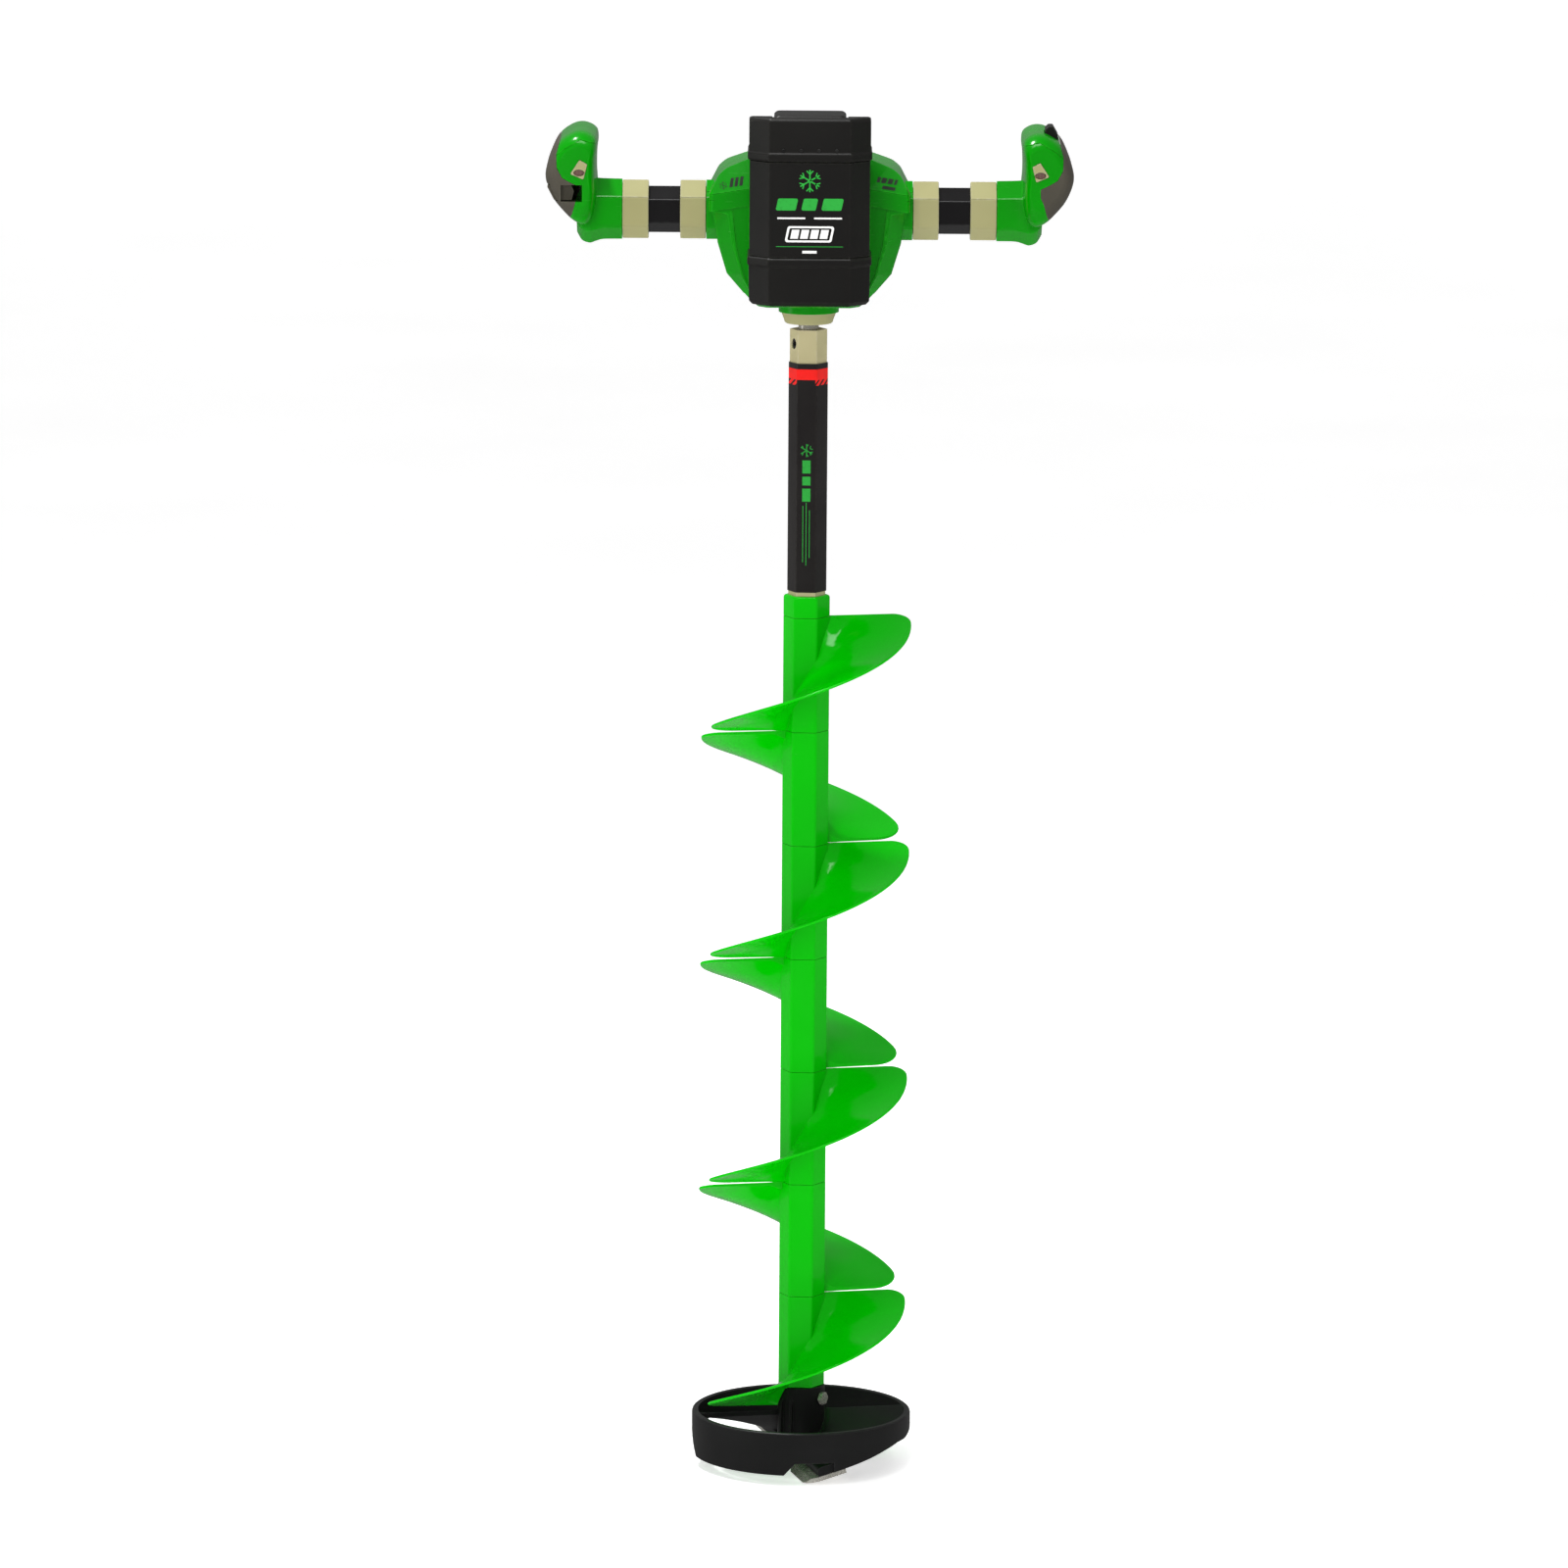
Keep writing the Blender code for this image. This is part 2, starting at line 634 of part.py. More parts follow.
def drive_tube():
    """The six-sided aluminium tube that runs the length of the drill."""
    outer = hexagon(TUBE_HEX, HEX_TURN, 1.5)
    inner = hexagon(inner_hex(TUBE_HEX, TUBE_WALL), HEX_TURN, 0.8)
    tube = sleeve("drive_tube", outer, inner, "Z", TUBE_BOTTOM, TUBE_TOP, "cream")
    facet = polar(COUPLER_FACET, 1.0)
    hub = polar(HEX_TURN - 30, 1.0)
    coupler_hole = rod("hole", polar(COUPLER_FACET, -30, COUPLER_BOLT_Z), facet, 60, 5.0)
    hub_hole = rod("hole", polar(HEX_TURN - 30, -30, HUB_BOLT_Z), hub, 60, 3.8)
    return cut(tube, coupler_hole, hub_hole)


def tube_wrap():
    """The dark sleeve round the upper part of the tube."""
    outer = hexagon(WRAP_HEX, HEX_TURN, 2.0)
    inner = hexagon(TUBE_HEX + GAP, HEX_TURN, 1.5)
    return sleeve("tube_wrap", outer, inner, "Z", WRAP_BOTTOM, WRAP_TOP, "wrap")


def drive_coupler():
    """The steel plug in the top of the tube, bored for the output shaft."""
    outer = hexagon(inner_hex(TUBE_HEX, TUBE_WALL) - GAP, HEX_TURN, 1.0)
    inner = circle(SHAFT_RADIUS + GAP, len(outer))
    turned_inner = [tuple(Matrix.Rotation(radians(HEX_TURN), 2) @ Vector(p)) for p in inner]
    plug = sleeve("drive_coupler", outer, turned_inner, "Z", *COUPLER_HEIGHTS, "steel")
    facet = polar(COUPLER_FACET, 1.0)
    return cut(plug, rod("hole", polar(COUPLER_FACET, -30, COUPLER_BOLT_Z), facet, 60, 5.0))


def coupler_bolt():
    """The cross bolt that locks the tube on the output shaft, its socket head in the facet's hole."""
    facet = polar(COUPLER_FACET, 1.0)
    bolt = rod("coupler_bolt", polar(COUPLER_FACET, -14.4, COUPLER_BOLT_Z), facet, 28.4, 4.7)
    socket = rod("socket", polar(COUPLER_FACET, 10.0, COUPLER_BOLT_Z), facet, 8, 2.6, 6)
    return cut(bolt, socket)


def output_shaft():
    """The steel shaft from the gearbox into the top of the drill."""
    shaft = prism("output_shaft", circle(SHAFT_RADIUS, 32), "Z", *OUTPUT_SHAFT, "steel")
    facet = polar(COUPLER_FACET, 1.0)
    return cut(shaft, rod("hole", polar(COUPLER_FACET, -30, COUPLER_BOLT_Z), facet, 60, 5.0))


def bored_gear(name, teeth, phase, centre, low, high, bore):
    """A spur gear between two heights, bored for its shaft."""
    gear = prism(name, gear_outline(teeth, phase, centre), "Z", low, high, "steel")
    return cut(gear, prism("bore", circle(bore, 24, centre), "Z", low - 5, high + 5))


def gears():
    """Output gear, counter cluster and motor pinion, in mesh at rest."""
    counter = (0.0, COUNTER_Y)
    floor = GEARBOX_FLOOR
    bored_gear("output_gear", BIG_TEETH, 90, (0.0, 0.0), floor + 4.5, floor + 12.5, SHAFT_RADIUS + GAP)
    small_outline = gear_outline(SMALL_TEETH, 180 / SMALL_TEETH - 90, counter)
    big_outline = gear_outline(BIG_TEETH, 180 / BIG_TEETH - 90, counter)
    cluster = prism("counter_gear", small_outline, "Z", floor + 3.8, floor + 17.0, "steel")
    wheel = prism("wheel", big_outline, "Z", floor + 16.5, floor + 24.0)
    axle = prism("axle", circle(3.2, 20, counter), "Z", floor + 1.0, floor + 29.0)
    join(cluster, wheel, axle)
    move_origin(cluster, (0.0, COUNTER_Y, floor + 8.0))
    bored_gear("motor_pinion", SMALL_TEETH, 90, (0.0, 0.0), floor + 16.0, floor + 25.0, 3.3)


def move_origin(obj, place):
    """Puts an object's origin at that place without moving its shape."""
    shift = Vector(place) * MM - obj.location
    obj.data.transform(Matrix.Translation(-shift))
    obj.location = Vector(place) * MM


# ---------------------------------------------------------------- gearbox and motor


def gearbox_plan(wall):
    """The plan of the gearbox: two round ends joined by straight sides."""
    radius = GEARBOX_RADIUS + wall
    steps = 12
    sweep = [pi * k / steps for k in range(steps + 1)]
    far = [(radius * cos(a), COUNTER_Y + radius * sin(a)) for a in sweep]
    near = [(-x, COUNTER_Y - y) for x, y in far]
    return far + near


def gearbox_case():
    """The cast cup that holds the gears, with the upper bearing's seat under it."""
    case = prism("gearbox_case", gearbox_plan(3.0), "Z", GEARBOX_FLOOR, GEARBOX_RIM, "aluminium")
    join(case, prism("seat", circle(19.3, 32), "Z", GEARBOX_FLOOR - 9, GEARBOX_FLOOR + 1))
    room = prism("room", gearbox_plan(0.0), "Z", GEARBOX_FLOOR + 3, GEARBOX_RIM + 5)
    below, above = GEARBOX_FLOOR - 12, GEARBOX_FLOOR + 8
    bearing = prism("bearing", circle(16.3, 32), "Z", below, GEARBOX_FLOOR - 0.2)
    hole = prism("hole", circle(SHAFT_RADIUS + 1, 28), "Z", below, above)
    counter_hole = prism("hole", circle(3.5, 16, (0.0, COUNTER_Y)), "Z", below, above)
    return cut(case, room, bearing, hole, counter_hole)


def gearbox_cover():
    """The plate over the gears, which the motor is bolted to."""
    cover = prism("gearbox_cover", gearbox_plan(3.0), "Z", GEARBOX_RIM + GAP, GEARBOX_RIM + 4, "aluminium")
    hole = prism("hole", circle(8.0, 24), "Z", GEARBOX_RIM - 4, GEARBOX_RIM + 8)
    return cut(cover, hole)


def motor():
    """Can and rotor of the brushless motor, upright on the drill's axis."""
    foot, top, lid = MOTOR_FOOT, MOTOR_TOP, MOTOR_TOP - 2.5
    can = ((31.0, foot), (31.0, top), (5.0, top), (5.0, lid), (28.5, lid), (28.5, foot))
    turned("motor_can", can, "dark_steel")
    rotor = prism("motor_rotor", circle(3.0, 20), "Z", OUTPUT_SHAFT[1] + 1.0, top + 2.0, "steel")
    join(rotor, prism("magnets", circle(25.0, 28), "Z", foot + 4.7, lid - 4.5))


def bearings():
    """The two ball bearings of the output shaft, as plain rings."""
    for name, low, high, outer in BEARINGS:
        profile = ((SHAFT_RADIUS + GAP, low), (outer, low), (outer, high), (SHAFT_RADIUS + GAP, high))
        turned(name, profile, "steel")


def control_board():
    """Circuit board with the power transistors' heat sink on it."""
    board = box("control_board", (-50.0, -26.0, 1104.0), (-46.0, 34.0, 1148.0), "board")
    return join(board, box("sink", (-47.0, -14.0, 1112.0), (-37.0, 22.0, 1142.0)))


# ---------------------------------------------------------------- powerhead shells


def plan_ring(z, half, front, back, inset=0.0, rounding=4.0, chamfer=0.0):
    """One level of a shell: an oblong with round corners, its front corners chamfered."""
    half, front, back = half - inset, front + inset, back - inset
    corners = [(half, back), (-half, back)]
    if chamfer:
        corners += [(-half, front + 1.3 * chamfer), (-half + chamfer, front)]
        corners += [(half - chamfer, front), (half, front + 1.3 * chamfer)]
    else:
        corners += [(-half, front), (half, front)]
    return [(x, y, z) for x, y in rounded(corners, rounding, 3)]


def housing_form(inset=0.0):
    """The powerhead's outer form, drawn in by inset, with its two leaning shoulders."""
    levels = [list(section) for section in HOUSING_SECTIONS]
    levels[0][0] += inset
    levels[-1][0] -= inset
    form = loft("form", [plan_ring(*level[:4], inset, 6.0, level[4]) for level in levels], "green")
    for side in (-1, 1):
        rings = []
        for x in (RIDGE_INNER[0] - 2 - inset, RIDGE_OUTER[0] + 20):
            foot = ridge_height(x) - inset / 2
            front = HOUSING_FRONT + inset
            section = ((-80.0, foot), (front, foot), (front + SHOULDER_LEAN, foot + SHOULDER_RISE))
            section += ((-80.0, foot + SHOULDER_RISE),)
            rings.append([(side * x, y, z) for y, z in section])
        cut(form, loft("shoulder", rings, "green"))
    return form


def ridge_height(x):
    """Height of the ridge line at that distance from the middle."""
    (outer, low), (inner, high) = RIDGE_OUTER, RIDGE_INNER
    return low + (high - low) * (outer - x) / (outer - inner)


def housing_block():
    """The whole powerhead shell before it is parted, solid outside, hollow inside."""
    shell = housing_form()
    join(shell, prism("nose", circle(27.5, 36), "Z", NOSE_TOP, HOUSING_SECTIONS[0][0] + 3))
    for side in (-1, 1):
        low, high = sorted((side * 70.0, side * 93.8))
        join(shell, prism("neck", hexagon(COLLAR_HEX + 0.4, 30, 4.0, (0.0, BAR_Z)), "X", low, high))
    bearing_foot, bearing_top, bearing_radius = BEARINGS[0][1:]
    seat = prism("seat", circle(bearing_radius + GAP, 36), "Z", bearing_foot - GAP, bearing_top + 6)
    holes = [seat, prism("hole", circle(SHAFT_RADIUS + 1.0, 32), "Z", NOSE_BOTTOM, NOSE_TOP + 5)]
    for side in (-1, 1):
        low, high = sorted((side * 60.0, side * 100.0))
        holes.append(prism("hole", hexagon(BAR_HEX + GAP, 30, 2.2, (0.0, BAR_Z)), "X", low, high))
    return cut(shell, housing_form(SHELL), *holes)


def parting_space(gap, far_z):
    """Everything between a level far_z and the parting line, kept gap away from the line."""
    far = 300.0
    (outer, low), (inner, high) = RIDGE_OUTER, RIDGE_INNER
    line = [(-far, low), (-outer, low), (-inner, high), (inner, high), (outer, low), (far, low)]
    outline = [(x, z + gap) for x, z in line] + [(far, far_z), (-far, far_z)]
    return loft("space", [[(x, y, z) for x, z in outline] for y in (-far, far)], "green")


def housing():
    """Upper and lower shells, parted along the ridge line."""
    lower = housing_block()
    lower.name = "housing_lower"
    upper = lower.copy()
    upper.data = lower.data.copy()
    upper.name = "housing_upper"
    bpy.context.scene.collection.objects.link(upper)
    keep(lower, parting_space(-GAP / 2, 1000.0))
    keep(upper, parting_space(GAP / 2, 1400.0))


def nose_ring():
    """The pale flared ring under the powerhead, round the output shaft."""
    bore = SHAFT_RADIUS + 1.0
    top = NOSE_TOP - GAP
    low = NOSE_BOTTOM
    profile = ((bore, top), (bore, low), (21.0, low), (22.2, low + 1.5), (23.2, low + 5.5), (25.3, top))
    turned("nose_ring", profile, "cream")


def terminal_block():
    """The contact block on the battery's mounting plate, which plugs into the battery's foot."""
    low = MOUNT_HEIGHTS[0] + 2.0
    block = box("terminal_block", (-18.0, -55.0, low), (18.0, -49.1, low + 20), "black")
    slots = [box("slot", (x - 2, -60.0, low + 4), (x + 2, -51.0, low + 30)) for x in (-11.0, 0.0, 11.0)]
    return cut(block, *slots)


def rail_outline(side, grow=0.0):
    """A T-shaped rail seen from above, on one side of the mounting plate."""
    stem, head = 2.2 + grow, 4.6 + grow
    x = side * RAIL_X
    return [
        (x - stem, -48.0 + grow), (x - stem, -51.6 + grow), (x - head, -51.6 + grow),
        (x - head, -54.4 - grow), (x + head, -54.4 - grow), (x + head, -51.6 + grow),
        (x + stem, -51.6 + grow), (x + stem, -48.0 + grow),
    ]


def battery_mount():
    """The plate on the housing's face with the two rails that the battery slides down."""
    low, high = MOUNT_HEIGHTS
    plate = box("battery_mount", (-40.0, -48.7, low), (40.0, HOUSING_FRONT - GAP, high), "black")
    return join(plate, *[prism("rail", rail_outline(side), "Z", *RAIL_HEIGHTS) for side in (-1, 1)])


# ---------------------------------------------------------------- battery


def battery_plan(grow=0.0, rounding=2.5):
    """The battery seen from above, with sloping front corners, grown outwards by that much."""
    side = BATTERY_HALF + grow
    face = BATTERY_FACE_HALF + grow / 2
    front = BATTERY_FRONT - grow
    back = BATTERY_BACK
    near = ((-side, front + 18.0), (-face, front), (face, front), (side, front + 18.0))
    corners = ((-side, back), *near, (side, back))
    return rounded(corners, rounding, 2)


def battery_loft(name, levels):
    """A solid through levels of (height, growth)."""
    return loft(name, [[(x, y, z) for x, y in battery_plan(grow)] for z, grow in levels], "black")


def battery_room(low, high):
    """The space inside the battery's shells."""
    back = BATTERY_WALL_FRONT
    side, face, front = BATTERY_HALF - 3.0, BATTERY_FACE_HALF - 1.5, BATTERY_FRONT + 3.0
    near = ((-side, front + 16.0), (-face, front), (face, front), (side, front + 16.0))
    corners = ((-side, back), *near, (side, back))
    return prism("room", corners, "Z", low, high)


def battery_grooves(low, high):
    """The two grooves that take the mounting plate's rails."""
    return [prism("groove", rail_outline(side, 0.5), "Z", low, high) for side in (-1, 1)]


def battery():
    """Middle sleeve, two end caps and the cells."""
    middle = battery_loft("battery_case", ((LOWER_CAP_TOP + GAP, 0.0), (UPPER_CAP_BOTTOM - GAP, 0.0)))
    whole = (LOWER_CAP_TOP - 20, UPPER_CAP_BOTTOM + 20)
    cut(middle, battery_room(*whole), *battery_grooves(*whole))
    lower = battery_loft("battery_cap_lower", (
        (BATTERY_BOTTOM, -3.0), (BATTERY_BOTTOM + 3.5, 0.0), (LOWER_CAP_TOP - 8.5, 0.6),
        (LOWER_CAP_TOP - 7.0, 1.8), (LOWER_CAP_TOP - 1.5, 1.8), (LOWER_CAP_TOP, 0.6)))
    whole = (BATTERY_BOTTOM - 20, LOWER_CAP_TOP + 20)
    slot = box("slot", (-20.5, -57.0, whole[0]), (20.5, -40.0, MOUNT_HEIGHTS[0] + 25))
    cut(lower, battery_room(BATTERY_BOTTOM + 4, whole[1]), slot, *battery_grooves(*whole))
    upper = battery_loft("battery_cap_upper", (
        (UPPER_CAP_BOTTOM, 0.6), (UPPER_CAP_BOTTOM + 1.5, 1.8), (UPPER_CAP_BOTTOM + 7.0, 1.8),
        (UPPER_CAP_BOTTOM + 8.5, 0.6), (BATTERY_TOP - 4.0, 0.6), (BATTERY_TOP - 1.0, -0.8),
        (BATTERY_TOP, -3.0)))
    floor = BATTERY_TOP - LATCH_WELL
    well = box("well", (-34.0, -116.0, floor), (34.0, -62.0, BATTERY_TOP + 20), rounding=4.0)
    above = BATTERY_TOP + 20
    falls_back = ((-104.0, BATTERY_TOP), (-40.0, BATTERY_TOP - 8.0), (-40.0, above), (-104.0, above))
    slope = prism("slope", falls_back, "X", -90.0, 90.0)
    cut(upper, battery_room(UPPER_CAP_BOTTOM - 20, floor - 4.5), well, slope)
    cell_pack()


def cell_pack():
    """Rows of round cells laid across the battery, held as one block."""
    radius = 8.9
    pitch = 2 * radius
    columns, rows = 3, 8
    first_y, first_z = -110.5, BATTERY_BOTTOM + 15.0
    last_y, last_z = first_y + (columns - 1) * pitch, first_z + (rows - 1) * pitch
    down, across = [k * pitch for k in range(rows)], [k * pitch for k in range(columns)]
    scallops = [(first_y, first_z + d, pi) for d in down]
    scallops += [(first_y + d, last_z, pi / 2) for d in across]
    scallops += [(last_y, last_z - d, 0.0) for d in down]
    scallops += [(last_y - d, first_z, -pi / 2) for d in across]
    outline = []
    for y, z, facing in scallops:
        for turn in (38, 13, -13, -38):
            angle = facing + radians(turn)
            outline.append((y + radius * cos(angle), z + radius * sin(angle)))
    return prism("battery_cells", outline, "X", -33.0, 33.0, "cells")


def battery_latch():
    """The press-down release plate on top of the battery."""
    levels = ((BATTERY_TOP - LATCH_WELL + 3.0, 32.5, -114.5, -63.5), (BATTERY_TOP - 1.0, 32.5, -114.5, -63.5),
              (BATTERY_TOP + 1.4, 30.0, -112.0, -66.0))
    rings = [plan_ring(*level) for level in levels]
    latch = loft("battery_latch", rings, "black")
    move_origin(latch, (0.0, -89.0, BATTERY_TOP))
    return latch


# ---------------------------------------------------------------- handlebar


def side_name(side):
    """The name of the side at -X or +X, as the person behind the auger has it."""
    return "right" if side > 0 else "left"


def bar_parts(side):
    """One side's six-sided bar and its two pale collars. Corners point up and down."""
    outer = hexagon(BAR_HEX, 30, 1.5, (0.0, BAR_Z))
    inner = hexagon(inner_hex(BAR_HEX, 2.5), 30, 0.8, (0.0, BAR_Z))
    low, high = sorted(side * end for end in BAR_ENDS)
    sleeve(f"bar_{side_name(side)}", outer, inner, "X", low, high, "black")
    collar = hexagon(COLLAR_HEX, 30, 4.0, (0.0, BAR_Z))
    bore = hexagon(BAR_HEX + GAP, 30, 1.5, (0.0, BAR_Z))
    for where, near, far in COLLARS:
        low, high = sorted((side * near, side * far))
        sleeve(f"collar_{side_name(side)}_{where}", collar, bore, "X", low, high, "cream")


def handle_block(name, side, finish_name):
    """The grip's full form, before the soft cover is parted from it."""
    cx, cz = GRIP_CENTRE
    loop = smooth_loop(GRIP_OUTLINE, 2)
    rings = []
    for y, share in GRIP_STATIONS:
        rings.append([(side * (cx + (x - cx) * share), y, cz + (z - cz) * share) for x, z in loop])
    return loft(name, rings, finish_name)


def rubber_prism(side, grow):
    """The space outside the line where the soft cover begins, moved outwards by grow."""
    edge = [(x + grow, z - grow) for x, z in RUBBER_EDGE]
    return prism("space", [(side * x, z) for x, z in (*edge, *RUBBER_OUTSIDE)], "Y", -90.0, 110.0)


def neck_block(side):
    """The six-sided neck that the bar is clamped in, swelling into a foot under the grip."""
    rings = []
    for x, z, radius in NECK_STATIONS:
        rings.append([(side * x, u, v) for u, v in hexagon(radius, 30, 4.5, (0.0, z))])
    return loft("neck", rings, "green")


def handle(side):
    """Hard handle body, soft cover, and the lamp in its front end."""
    tag = side_name(side)
    body = handle_block(f"handle_{tag}", side, "green")
    join(body, neck_block(side))
    low, high = sorted((side * 160.0, side * (BAR_ENDS[1] + 0.5)))
    bore = prism("bore", hexagon(BAR_HEX + GAP, 30, 1.5, (0.0, BAR_Z)), "X", low, high)
    bezel = [(side * x, z) for x, z in BEZEL]
    wide = [(side * x, z) for x, z in grown(BEZEL, 1.6 * GAP)]
    cut(body, rubber_prism(side, -GAP / 2), bore, prism("seat", wide, "Y", -50.0, -70.0))
    cover = keep(handle_block(f"grip_{tag}", side, "rubber"), rubber_prism(side, GAP / 2))
    frame = prism(f"lamp_bezel_{tag}", bezel, "Y", -55.2, -50.3, "cream")
    centre = (side * LENS_CENTRE[0], LENS_CENTRE[1])
    cut(frame, prism("seat", oval(centre, 4.9, 2.9), "Y", -70.0, -53.0))
    prism(f"lamp_lens_{tag}", oval(centre, 4.6, 2.6), "Y", -54.9, -53.3, "lens")
    return body, cover


def grown(corners, by):
    """A polygon's corners, each moved straight away from the middle by that much."""
    middle = sum((Vector(corner) for corner in corners), Vector((0.0, 0.0))) / len(corners)
    return [tuple(Vector(corner) + by * (Vector(corner) - middle).normalized()) for corner in corners]


def oval(centre, wide, high):
    """An ellipse's outline from its centre and half sizes."""
    return [(centre[0] + wide * u, centre[1] + high * v) for u, v in circle(1.0, 20)]


def trigger(body, cover):
    """The speed trigger in the left grip's outer side. It swings inwards about the pin at its rear end."""
    low, high = TRIGGER_POCKET
    for target in (body, cover):
        cut(target, box("pocket", (-250.0, -48.0, low), (-206.0, -3.0, high)))
        cut(target, box("recess", (-225.5, -60.0, low), (-206.0, -47.0, high)))
        cut(target, prism("hole", circle(1.9, 16, TRIGGER_PIVOT), "Z", low - 4.4, high + 4.4))
    outline = (
        (-231.5, low + 1.0), (-215.5, low + 1.0), (-213.5, low + 9.0),
        (-216.0, high - 1.0), (-238.6, high - 1.0),
    )
    lever = prism("trigger", rounded(outline, 1.2), "Y", -45.5, -4.0, "rubber")
    cut(lever, prism("hole", circle(1.9, 16, TRIGGER_PIVOT), "Z", low - 4.4, high + 4.4))
    prism("trigger_pin", circle(1.6, 16, TRIGGER_PIVOT), "Z", low - 4.0, high + 4.0, "steel")
    move_origin(lever, (*TRIGGER_PIVOT, (low + high) / 2))


def direction_switch(body):
    """The forward and reverse rocker on top of the right grip. It rocks about a pin along X."""
    floor = SWITCH_PIVOT[2] - 4.5
    cut(body, box("pocket", (212.5, -26.0, floor), (226.0, 6.0, floor + 24)))
    outline = (
        (213.5, floor + 2.2), (225.0, floor + 2.2), (225.0, floor + 6.5), (220.5, floor + 14.3),
        (216.5, floor + 14.3), (213.5, floor + 11.5),
    )
    rocker = prism("direction_switch", rounded(outline, 0.8), "Y", -23.0, 3.0, "black")
    move_origin(rocker, SWITCH_PIVOT)


# ---------------------------------------------------------------- the auger


def clear_scene():
    """Removes whatever the new scene starts with."""
    for obj in list(bpy.data.objects):
        bpy.data.objects.remove(obj)


def build():
    """Makes every piece of the auger."""
    clear_scene()
    for index in range(SEGMENTS):
        flight(index)
    flight_cap()
    blade_carrier()
    screw_number = 1
    for number, azimuth in enumerate(BLADE_AZIMUTHS, 1):
        blade(number, azimuth)
        for place in screw_places(azimuth):
            blade_screw(screw_number, place)
            screw_number += 1
    pilot_point()
    hub_bolt()
    hub_nut()
    drive_tube()
    tube_wrap()
    drive_coupler()
    coupler_bolt()
    output_shaft()
    gears()
    gearbox_case()
    gearbox_cover()
    motor()
    bearings()
    control_board()
    housing()
    nose_ring()
    terminal_block()
    battery_mount()
    battery()
    battery_latch()
    for side in (-1, 1):
        bar_parts(side)
        body, cover = handle(side)
        if side < 0:
            trigger(body, cover)
        else:
            direction_switch(body)


build()
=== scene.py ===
"""Looks of a battery ice auger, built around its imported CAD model. Sizes are in millimetres, as in the
design, and become metres when a mesh is made. Green shells and screw, cream collars, black battery."""

import json
from math import atan2, cos, hypot, pi, radians, sin, sqrt, tan

import bmesh
import bpy
from mathutils import Matrix, Vector


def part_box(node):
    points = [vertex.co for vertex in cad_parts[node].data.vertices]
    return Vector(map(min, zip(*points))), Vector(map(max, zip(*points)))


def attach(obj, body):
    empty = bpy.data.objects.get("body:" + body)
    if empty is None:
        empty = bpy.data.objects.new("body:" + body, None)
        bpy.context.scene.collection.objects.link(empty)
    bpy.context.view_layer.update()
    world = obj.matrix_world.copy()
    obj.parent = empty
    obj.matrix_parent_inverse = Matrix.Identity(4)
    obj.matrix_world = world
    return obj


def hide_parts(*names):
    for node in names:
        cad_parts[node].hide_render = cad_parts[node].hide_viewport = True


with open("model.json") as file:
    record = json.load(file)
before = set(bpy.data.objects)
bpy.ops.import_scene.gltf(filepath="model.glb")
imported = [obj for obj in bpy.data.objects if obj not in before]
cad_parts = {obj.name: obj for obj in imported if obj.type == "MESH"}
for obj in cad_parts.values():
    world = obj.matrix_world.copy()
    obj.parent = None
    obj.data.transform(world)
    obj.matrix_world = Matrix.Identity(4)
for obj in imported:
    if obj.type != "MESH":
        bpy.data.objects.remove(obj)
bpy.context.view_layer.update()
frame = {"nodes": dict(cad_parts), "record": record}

MM = 0.001
GAP = 0.3
RECORD = frame["record"]
BODY_OF = {node: body for body, nodes in RECORD["behaviour"]["bodies"].items() for node in nodes}
SLOT_OF = {part["node"]: part["material_slot"] for part in RECORD["subparts"]}


def mm_box(node):
    """A CAD node's lowest and highest corners in millimetres."""
    low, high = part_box(node)
    return low / MM, high / MM


# ---------------------------------------------------------------- sizes

# A HEX value is the distance from a hexagon's middle to its corner. Angles are in degrees.
SEGMENTS = 7
START_CORNER = 15.0  # radius of a sheet's outer corner at its upper end
END_CORNER = 29.0  # and at its lower end
JOINT_GAP = 0.08  # left between two half turns' sheets
SHEET = 3.2  # thickness of the screw's sheet
SHEET_THINNING = 0.8  # how much thinner the sheet is at its tip
SHEET_ROOT = 17.5  # where the sheet begins, inside its sleeve
RIM_ROUND = 1.2
HEX_TURN = -4.0
FIRST_JOINT = 12.0  # azimuth where the top half turn begins
CAP_LOW, CAP_HIGH = mm_box("flight_cap")
FLIGHT_TOP = mm_box("flight_1")[1].z
PITCH = FLIGHT_TOP - mm_box("flight_2")[1].z
SLEEVE_HEX = 21.7
TUBE_HEX = 17.3
WRAP_HEX = 18.3
FLIGHT_RADIUS = mm_box("flight_2")[1].y
HUB_RADIUS = 22.0
RING_RADIUS = 101.5
RING_TOP = 49.0
HUB_TOP = mm_box("blade_carrier")[1].z
HUB_BOLT_Z = 62.0
HUB_BOLT_AZIMUTH = HEX_TURN - 30
SHEET_DISH = 3.0
DISH_RUN_IN = 25.0  # angle from each end of a half turn over which the sheet's dish grows
SHAFT_RADIUS = 9.3
COLLAR_HEX = 27.3
BAR_LOW, BAR_HIGH = mm_box("bar_right")
BAR_Z = (BAR_LOW.z + BAR_HIGH.z) / 2
BAR_AXIS = (0.0, BAR_Z)  # as Y and Z
BAR_HEX = 21.4
BAR_WALL = 2.5
SEAM_Z = BAR_Z + 13.2  # a moulding seam round the collars and the necks
SHELL = 3.0
HOUSING_NECK_HEX = COLLAR_HEX + 0.4
HOUSING_NECK_END = 93.8
HANDLE_NECK_HEX = 28.2
FRONT = mm_box("housing_lower")[0].y
CREASE = 34.0  # a sharper turn than this stays a hard edge in the shading


# ---------------------------------------------------------------- shader graphs


